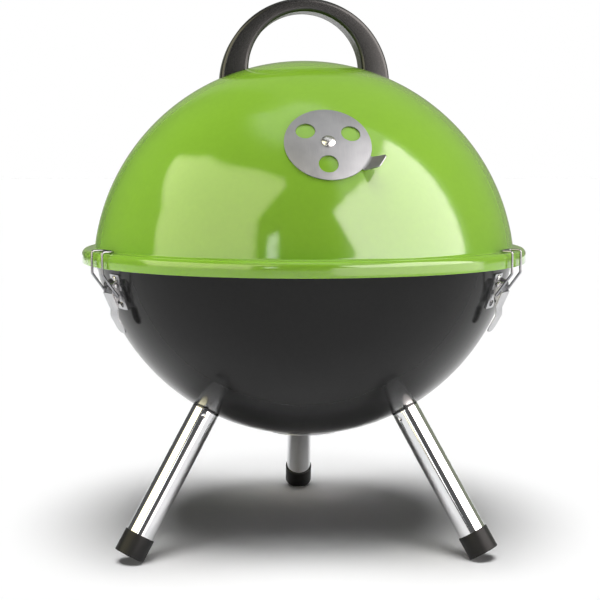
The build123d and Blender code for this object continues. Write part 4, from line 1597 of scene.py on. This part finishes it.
@dataclass
class Latches:
    """Toggle latches: a base riveted to the bowl, a folded lever on a pin and a wire bail over the flange."""

    sheet_wall: float = 1.0
    pin_out: float = 4.2
    pin_radius: float = 1.25
    pin_fit: float = 0.06
    pin_head_radius: float = 1.9
    pin_head_height: float = 0.8
    base_width: float = 16.0
    base_corner: float = 0.8
    base_top: float = 6.8
    base_bottom: float = -20.6
    ear_radius: float = 2.6
    ear_top: float = 3.6
    ear_bottom: float = -5.4
    lever_width: float = 16.4
    lever_tab_width: float = 13.0
    lever_play: float = 0.3
    lever_ear_radius: float = 2.7
    lever_points: tuple[Point2, ...] = ((9.1, -5.1), (6.9, -17.4), (8.4, -23.7), (4.3, -38.0))
    lever_bend_radius: float = 2.4
    lever_tip_round: float = 5.0
    lever_neck: float = 1.2
    lever_shoulder: float = 0.8
    cheek_inset: float = 0.55
    bail_wire: float = 0.95
    bail_fit: float = 0.06
    bail_end_out: float = 5.2
    bail_end_up: float = -8.0
    bail_end_reach: float = 0.5
    bail_side_gap: float = 0.6
    bail_eye_radius: float = 2.4
    bail_hook_gap: float = 0.4
    bail_front_gap: float = 1.2
    bail_drop: float = 4.0
    bail_hook_reach: float = 6.9
    bail_bend: float = 1.9
    rivet_head_radius: float = 2.5
    rivet_head_height: float = 1.1
    rivet_edge: float = 0.4
    edge_break: float = 0.12
    base_grid: float = 1.6
    lever_grid: float = 1.1
    ear_grid: float = 1.2

    @staticmethod
    def _hull(rounds: Sequence[tuple[Point2, float]], points: Sequence[Point2]) -> list[Point2]:
        """Outline drawn tight round circles and points, anticlockwise."""
        cloud = [*(p for centre, radius in rounds for p in bore(centre, radius, 48)), *points]
        return [cloud[i] for i in convex_hull_2d(cloud)]

    def base(self, side: Side) -> Object:
        """Plate pressed to the bowl's curve, with two ears for the pin between its rivets.

        Args:
            side: Leg that the latch is over.

        Returns:
            The base.
        """
        spot = latch_spot(side)
        centre = Vector((0, 0, KETTLE.bowl_centre))
        outer = KETTLE.shell_radius + KETTLE.seat_gap + self.sheet_wall
        outline = rounded_box(self.base_width, self.base_bottom, self.base_top, self.base_corner)

        def pressed(x: float, y: float, depth: float) -> Vector:
            """Point of the plate against the bowl."""
            return centre + (spot.at(x, y) - centre).normalized() * (outer - depth)

        mesh = bmesh.new()
        sheet(mesh, [outline, *rivet_bores(side)], self.base_grid, self.sheet_wall, pressed)
        ear_outside = self.lever_width / 2 - self.sheet_wall - self.lever_play
        foot, pivot = self.sheet_wall / 2, (self.pin_out, 0.0)
        flank = self._hull([(pivot, self.ear_radius)], [(foot, self.ear_bottom), (foot, self.ear_top)])
        hole = bore(pivot, self.pin_radius + KETTLE.seat_gap)
        for start in (ear_outside, -ear_outside + self.sheet_wall):
            sheet(mesh, [flank, hole], self.ear_grid, self.sheet_wall,
                  lambda out, up, depth, start=start: spot.at(start - depth, up, out))
        piece = finish_mesh(f"latch_plate_{side.tag}", mesh)
        soften(piece, self.edge_break)
        return piece

    def pin(self, side: Side) -> Object:
        """Pin through ears and cheeks, with a domed head at each end.

        Args:
            side: Leg that the latch is over.

        Returns:
            The pin.
        """
        spot = latch_spot(side)
        axis = Spot(spot.at(0, 0, self.pin_out), spot.y, spot.z, spot.x)
        half, r, h = self.lever_width / 2 + self.lever_play, self.pin_head_radius, self.pin_head_height
        profile = ((1.0, 0.0), (1.0, 0.45), (0.8, 0.85), (0.4, 1.0), (0.0, 1.0))
        right = [(self.pin_radius, half), *((r * x, half + h * z) for x, z in profile)]
        section = [*((x, -z) for x, z in reversed(right)), *right]
        mesh = bmesh.new()
        lathe(mesh, section, axis, segments=32)
        return finish_mesh(f"latch_pin_turned_{side.tag}", mesh)

    def lever(self, side: Side) -> Object:
        """Folded lever: a kicked finger plate between two cheeks that carry the pin and the bail.

        Args:
            side: Leg that the latch is over.

        Returns:
            The lever.
        """
        spot = latch_spot(side)
        corners = [Vector((out, up, 0)) for out, up in self.lever_points]
        path = rounded_path(corners, [self.lever_bend_radius] * 2, steps=8)
        lengths = path_lengths(path)
        waist = next(s for s, p in zip(lengths, path) if p.y <= self.lever_points[1][1])
        end, neck = lengths[-1], self.lever_neck
        wide, tab, r = self.lever_width / 2, self.lever_tab_width / 2, self.lever_tip_round
        right = [(wide, 0.0), (wide, waist - neck),
                 *arc((wide - neck, waist - neck), neck, 0, 60, steps=4)[1:],
                 (tab, waist + self.lever_shoulder), *arc((tab - r, end - r), r, 0, 90, steps=8)]
        outline = [*right, *((-x, s) for x, s in reversed(right))]

        def folded(along: float, length: float, depth: float) -> Vector:
            """Point of the plate at a length down its bends.

            Args:
                along: Place across the plate.
                length: Length from its upper edge.
                depth: Depth below its outer side.

            Returns:
                The point.
            """
            i, share = find_chord(lengths, length)
            place = path[i].lerp(path[i + 1], share)
            ahead = (path[i + 1] - path[i]).normalized()
            if 0 < i and share < 0.5:
                ahead = (ahead + (path[i] - path[i - 1]).normalized() * (0.5 - share)).normalized()
            inward = Vector((ahead.y, -ahead.x, 0))
            place = place + inward * depth
            return spot.at(along, place.y, place.x)

        mesh = bmesh.new()
        sheet(mesh, [outline], self.lever_grid, self.sheet_wall, folded)
        inset = self.sheet_wall * self.cheek_inset
        (crown_out, crown_up), (waist_out, waist_up) = self.lever_points[:2]
        pivot, eye = (self.pin_out, 0.0), (self.bail_end_out, self.bail_end_up)
        cheek = self._hull([(pivot, self.lever_ear_radius), (eye, self.bail_eye_radius)],
                           [(crown_out - inset, crown_up), (waist_out - inset, waist_up)])
        bores = [bore(pivot, self.pin_radius + self.pin_fit), bore(eye, self.bail_wire + self.bail_fit, 20)]
        for start in (wide, -wide + self.sheet_wall):
            sheet(mesh, [cheek, *bores], self.ear_grid, self.sheet_wall,
                  lambda out, up, depth, start=start: spot.at(start - depth, up, out))
        piece = finish_mesh(f"latch_lever_folded_{side.tag}", mesh)
        soften(piece, self.edge_break)
        return piece

    def bail(self, side: Side, shop: Workshop) -> Object:
        """Wire loop whose ends turn in the lever and whose top hooks over the lid's flange.

        Args:
            side: Leg that the latch is over.
            shop: What it is made with.

        Returns:
            The bail.
        """
        spot = latch_spot(side)
        turn = radians(side.value)
        out, aside = Vector((cos(turn), sin(turn), 0)), Vector((-sin(turn), cos(turn), 0))
        along = self.lever_width / 2 + self.bail_side_gap + self.bail_wire
        end_along = self.lever_width / 2 - self.sheet_wall - self.bail_end_reach
        front = KETTLE.flange_radius + self.bail_front_gap + self.bail_wire
        hook = KETTLE.flange_radius - self.bail_hook_reach
        top = KETTLE.flange_top + self.bail_hook_gap + self.bail_wire
        knee = KETTLE.flange_top - KETTLE.flange_depth - self.bail_drop
        corners = ((front, knee), (front, top), (hook, top))
        points = []
        for way in (1, -1):
            half = [spot.at(way * end_along, self.bail_end_up, self.bail_end_out),
                    spot.at(way * along, self.bail_end_up, self.bail_end_out)]
            half += [out * r + aside * (way * along) + Vector((0, 0, z)) for r, z in corners]
            points += half if way > 0 else half[::-1]
        bends = [self.bail_side_gap + self.bail_wire / 2, *[self.bail_bend] * 3]
        path = rounded_path(points, [*bends, *bends[::-1]], steps=10)
        return shop.forms.wire(f"latch_bail_wire_{side.tag}", path, self.bail_wire, shop.finish(WIRE))

    def build(self, shop: Workshop) -> None:
        """Make and dress the latches.

        Args:
            shop: What they are made with.
        """
        nickel, wire, aluminium = shop.finish(NICKEL), shop.finish(WIRE), shop.finish(ALUMINIUM)
        for side in Side:
            deliver(self.base(side), "kettle", "latch_nickel", nickel, f"latch_base_{side.tag}")
            deliver(self.pin(side), "kettle", "latch_nickel", nickel, f"latch_pin_{side.tag}")
            deliver(self.lever(side), f"lever_{side.tag}", "latch_nickel", nickel, f"latch_lever_{side.tag}")
            deliver(self.bail(side, shop), f"bail_{side.tag}", "bail_wire", wire, f"latch_bail_{side.tag}")
        gap, r, h = KETTLE.seat_gap, self.rivet_head_radius, self.rivet_head_height
        bracket_inner = KETTLE.inner_radius - gap - KETTLE.bracket_sheet
        foot = KETTLE.wall + gap + KETTLE.bracket_sheet + dish(bracket_inner, r) + gap
        crown, shank, edge = gap + self.sheet_wall + gap, KETTLE.rivet_radius, self.rivet_edge
        profile = ((1.0, 0.0), (1.0, 0.3), (0.82, 0.72), (0.5, 0.94), (0.0, 1.0))
        section = [(0, -foot - h), (r - edge, -foot - h), (r, -foot - h + edge), (r, -foot), (shank, -foot),
                   (shank, crown), *((r * x, crown + h * z) for x, z in profile)]
        spots = [spot for side in Side for spot in rivet_spots(side)]
        rivets = shop.forms.fasteners("latch_rivet_set", section, spots, aluminium)
        deliver(rivets, "kettle", "rivet_aluminium", aluminium, "latch_rivets")


@dataclass(frozen=True)
class Card:
    """Reflector seen only in the gloss of the grill, drawn by bearings and heights round it in degrees."""

    name: str
    outline: tuple[Point2, ...]
    level: float
    soft: float = 2.0
    tint: str = "#FFFFFF"
    radius: float = 2400.0
    centre: float = 220.0
    spacing: float = 4.0

    def _fade(self, bearing: float, height: float) -> float:
        """Share of the card's light at a point, which falls off towards its outline.

        Args:
            bearing: Bearing of the point, in degrees.
            height: Its height, in degrees.

        Returns:
            A share from 0 to 1.
        """
        first_bearing = min(x for x, _ in self.outline)
        here = Vector((bearing + 360 if bearing < first_bearing - 1 else bearing, height))
        nearest = self.soft
        for a, b in zip(self.outline, [*self.outline[1:], self.outline[0]]):
            first, along = Vector(a), Vector(b) - Vector(a)
            share = min(1.0, max(0.0, (here - first).dot(along) / along.length_squared))
            nearest = min(nearest, (here - first - along * share).length)
        return nearest / self.soft

    def build(self) -> None:
        """Make the card and mark it as stage."""
        def place(bearing: float, height: float, depth: float) -> Vector:
            """Point of the card as seen from the grill."""
            turn, tilt = radians(bearing), radians(height)
            way = Vector((sin(turn) * cos(tilt), -cos(turn) * cos(tilt), sin(tilt)))
            return Vector((0, 0, self.centre)) + way * (self.radius - depth)

        mesh = bmesh.new()
        sheet(mesh, [self.outline], self.spacing, thickness=1.0, place=place)
        card = finish_mesh(self.name, mesh)
        fade = card.data.attributes.new("fade", "FLOAT", "POINT")
        for value, vertex in zip(fade.data, card.data.vertices):
            x, y, z = vertex.co / MM - Vector((0, 0, self.centre))
            value.value = self._fade(degrees(atan2(x, -y)), degrees(asin(min(1.0, z / self.radius))))
        material = new_material(self.name)
        tree = material.node_tree
        share = add_node(tree, "ShaderNodeAttribute", {"attribute_name": "fade"})
        glow = add_node(tree, "ShaderNodeEmission", Color=linear(self.tint), Strength=self.level)
        clear = add_node(tree, "ShaderNodeBsdfTransparent")
        mixed = add_node(tree, "ShaderNodeMixShader", i0=share.outputs["Fac"], i1=clear.outputs[0],
                         i2=glow.outputs[0])
        add_node(tree, "ShaderNodeOutputMaterial", Surface=mixed.outputs[0])
        card.data.materials.append(material)
        for ray in ("camera", "diffuse", "transmission", "volume_scatter", "shadow"):
            setattr(card, f"visible_{ray}", False)
        card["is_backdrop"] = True


@dataclass(frozen=True)
class Panel:
    """Soft lamp: where it hangs, how large it is, its power in watts and what it points at."""

    name: str
    place: Point3
    size: Point2
    power: float
    aim: Point3 = (0.0, 0.0, 0.22)
    spread: float = 180.0
    shadows: bool = True

    def build(self, lit: bpy.types.Collection) -> None:
        """Hang the lamp.

        Args:
            lit: Collection of what it lights.
        """
        data = bpy.data.lights.new(self.name, "AREA")
        data.shape = "RECTANGLE"
        data.size, data.size_y = self.size
        data.energy = self.power
        data.spread = radians(self.spread)
        data.use_shadow = self.shadows
        lamp = add_object(self.name, data)
        lamp.location = self.place
        lamp.rotation_euler = (Vector(self.aim) - Vector(self.place)).to_track_quat("-Z", "Y").to_euler()
        lamp.visible_glossy = False
        lamp.visible_camera = False
        lamp.light_linking.receiver_collection = lit


@dataclass
class Studio:
    """Pale floor, pale surroundings, reflectors, soft lamps and the camera at the photo's angle."""

    camera_distance: float = 1016.4
    camera_height: float = 302.2
    camera_azimuth: float = -1.9
    camera_pitch: float = 6.096
    focal_pixels: float = 1252.4
    frame_pixels: float = 600.0
    aim_pixels: float = 3.8
    floor_size: float = 60.0
    # Painted shade: greys that only the eye sees on the sky and the floor towards the front
    far_sky: str = "#D2D2D2"
    far_floor: str = "#CDCDCD"
    far_start: float = -0.19
    far_end: float = -0.8
    far_bearing: float = -0.12
    ambient: float = 0.06
    overhead: float = 3.2
    overhead_angle: float = 36.0
    overhead_tilt: float = 13.0
    panels: tuple[Panel, ...] = (
        Panel("top_panel", (0.1, 0.0, 2.2), (1.6, 1.6), 41.0),
        Panel("left_panel", (-1.85, 0.6, 0.9), (1.4, 1.4), 36.0),
        Panel("right_panel", (2.0, -0.2, 0.8), (1.4, 1.4), 24.0),
        Panel("front_panel", (0.0, -2.2, 0.3), (1.6, 0.8), 6.5),
    )
    floor_lamps: tuple[Panel, ...] = (
        Panel("front_floor_lamp", (0.0, -0.105, 0.4), (0.16, 0.04), 0.031, aim=(0.0, -0.105, 0.0),
              spread=30.0, shadows=False),
        Panel("rear_floor_lamp", (0.0, 0.195, 0.1), (0.16, 0.02), 0.024, aim=(0.0, 0.195, 0.0), spread=105.0),
    )
    cards: tuple[Card, ...] = (
        Card("right_window", ((90, 60), (90.3, 46), (91.5, 34), (91.3, 23), (91, -8), (15, -8), (15, 7),
                              (24.5, 11.5), (19, 23), (13.8, 34.5), (25.6, 43), (44.7, 50.1), (61.2, 56)),
             level=6.0, soft=1.5, tint="#FFF6F2"),
        Card("left_window", ((-111, 41), (-85, 52), (-38, 55.6), (-8.7, 52.5), (-18.7, 40), (-26, 30),
                             (-24, -4), (-83, -4), (-91, 24), (-104, 33.6)),
             level=3.0, soft=4.0, tint="#FFF7D2"),
        Card("window_sill", ((10, -8), (96, -8), (96, 6.5), (10, 6.5)),
             level=2.6, tint="#FFF6F2", radius=2000.0),
        Card("window_streak", ((-20.5, 36), (-14, 22), (-13.4, -4), (-21.2, -4), (-21.4, 22)), level=4.6),
        Card("dark_side", ((-160, -30), (24, -30), (24, 74), (-160, 74)),
             level=0.1, soft=10.0, radius=3200.0),
        Card("pale_back", ((92, -30), (240, -30), (240, 80), (92, 80)),
             level=0.32, soft=8.0, tint="#EEF6D8", radius=3600.0),
    )

    def camera(self) -> None:
        """Place the camera."""
        turn = radians(self.camera_azimuth)
        data = bpy.data.cameras.new("camera")
        data.sensor_width = 36.0
        data.lens = self.focal_pixels / self.frame_pixels * data.sensor_width
        eye = add_object("camera", data)
        eye.location = (sin(turn) * self.camera_distance * MM, -cos(turn) * self.camera_distance * MM,
                        self.camera_height * MM)
        aim = turn + atan2(self.aim_pixels, self.focal_pixels)
        eye.rotation_euler = (pi / 2 - radians(self.camera_pitch), 0.0, aim)
        bpy.context.scene.camera = eye

    def surroundings(self) -> None:
        """White sky to the eye and in gloss, with painted shade that greys it behind the camera, and a low
        even light for the rest.
        """
        world = bpy.data.worlds.new("studio")
        bpy.context.scene.world = world
        world.use_nodes = True
        tree = world.node_tree
        tree.nodes.clear()
        path = add_node(tree, "ShaderNodeLightPath")
        seen = add_node(tree, "ShaderNodeMath", {"operation": "MAXIMUM"}, i0=path.outputs["Is Camera Ray"],
                        i1=path.outputs["Is Glossy Ray"])
        shown = add_node(tree, "ShaderNodeMath", {"operation": "MAXIMUM"}, i0=seen.outputs[0],
                         i1=path.outputs["Is Transmission Ray"])
        level = add_node(tree, "ShaderNodeMapRange", Value=shown.outputs[0], i3=self.ambient, i4=1.0)
        way = add_node(tree, "ShaderNodeTexCoord").outputs["Generated"]
        # painted shade on the sky, greying it towards the front for the eye only
        tone = self._far_tone(tree, way, (0.0, self.far_bearing), ("#FFFFFF", self.far_sky))
        sky = add_node(tree, "ShaderNodeBackground", Color=tone, Strength=level.outputs[0])
        add_node(tree, "ShaderNodeOutputWorld", Surface=sky.outputs[0])

    @staticmethod
    def _far_tone(tree: NodeTree, place: NodeSocket, reach: Point2, tones: tuple[str, str]) -> NodeSocket:
        """Painted shade: colour that greys a little towards the front, as light falling off would, so that
        bright edges stand out from behind.

        Args:
            tree: Tree of the floor or of the surroundings.
            place: Place or direction whose y runs towards the back.
            reach: Values of y at which the grey begins and is full.
            tones: Colour before it begins, and the grey of the painted shade.

        Returns:
            The colour, which only the eye sees go grey.
        """
        depth = add_node(tree, "ShaderNodeSeparateXYZ", Vector=place)
        far = add_node(tree, "ShaderNodeMapRange", {"interpolation_type": "SMOOTHSTEP"},
                       Value=depth.outputs["Y"], i1=reach[0], i2=reach[1])
        eye = add_node(tree, "ShaderNodeLightPath").outputs["Is Camera Ray"]
        share = add_node(tree, "ShaderNodeMath", {"operation": "MULTIPLY"}, i0=far.outputs[0], i1=eye)
        tone = add_node(tree, "ShaderNodeMix", {"data_type": "RGBA"}, i0=share.outputs[0],
                        i6=linear(tones[0]), i7=linear(tones[1]))
        return tone.outputs[2]

    def floor(self) -> Object:
        """Pale matt floor, with painted shade that greys it towards the front for the eye only.

        Returns:
            The floor.
        """
        half = self.floor_size / 2
        data = bpy.data.meshes.new("studio_floor")
        corners = [(-half, -half, 0), (half, -half, 0), (half, half, 0), (-half, half, 0)]
        data.from_pydata(corners, [], [(0, 1, 2, 3)])
        floor = add_object("studio_floor", data)
        material = new_material("white_paper_sweep")
        tree = material.node_tree
        spot = add_node(tree, "ShaderNodeTexCoord").outputs["Object"]
        # painted shade on the floor, greying it towards the front for the eye only
        tone = self._far_tone(tree, spot, (self.far_start, self.far_end), ("#FAFAFA", self.far_floor))
        matt = add_node(tree, "ShaderNodeBsdfDiffuse", Color=tone)
        add_node(tree, "ShaderNodeOutputMaterial", Surface=matt.outputs[0])
        data.materials.append(material)
        floor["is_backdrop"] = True
        return floor

    def lights(self, floor: Object) -> None:
        """One wide light and two small lamps for the floor, which shape the shadow, and panels for the grill.

        Args:
            floor: The floor.
        """
        data = bpy.data.lights.new("overhead", "SUN")
        data.energy = self.overhead
        data.angle = radians(self.overhead_angle)
        sun = add_object("overhead", data)
        sun.rotation_euler = (radians(self.overhead_tilt), 0, 0)
        sun.visible_glossy = False
        ground = bpy.data.collections.new("lit_floor")
        ground.objects.link(floor)
        sun.light_linking.receiver_collection = ground
        lit = bpy.data.collections.new("lit_pieces")
        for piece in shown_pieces():
            lit.objects.link(piece)
        for panel in self.panels:
            panel.build(lit)
        for lamp in self.floor_lamps:
            lamp.build(ground)

    def build(self) -> None:
        """Set the whole studio."""
        self.camera()
        self.surroundings()
        self.lights(self.floor())
        for card in self.cards:
            card.build()
        bpy.context.scene.view_settings.view_transform = "Standard"


def main() -> None:
    """Load the frame, build each sub-assembly on it, and set the studio."""
    logging.basicConfig(level=logging.INFO, format="%(name)s: %(message)s")
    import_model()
    shop = Workshop(NodeForms())
    for assembly in (Lid(VentSet()), Bowl(VentSet()), Legs(), Latches()):
        LOG.info("building %s", type(assembly).__name__)
        assembly.build(shop)
    Studio().build()


if __name__ == "__main__":
    main()
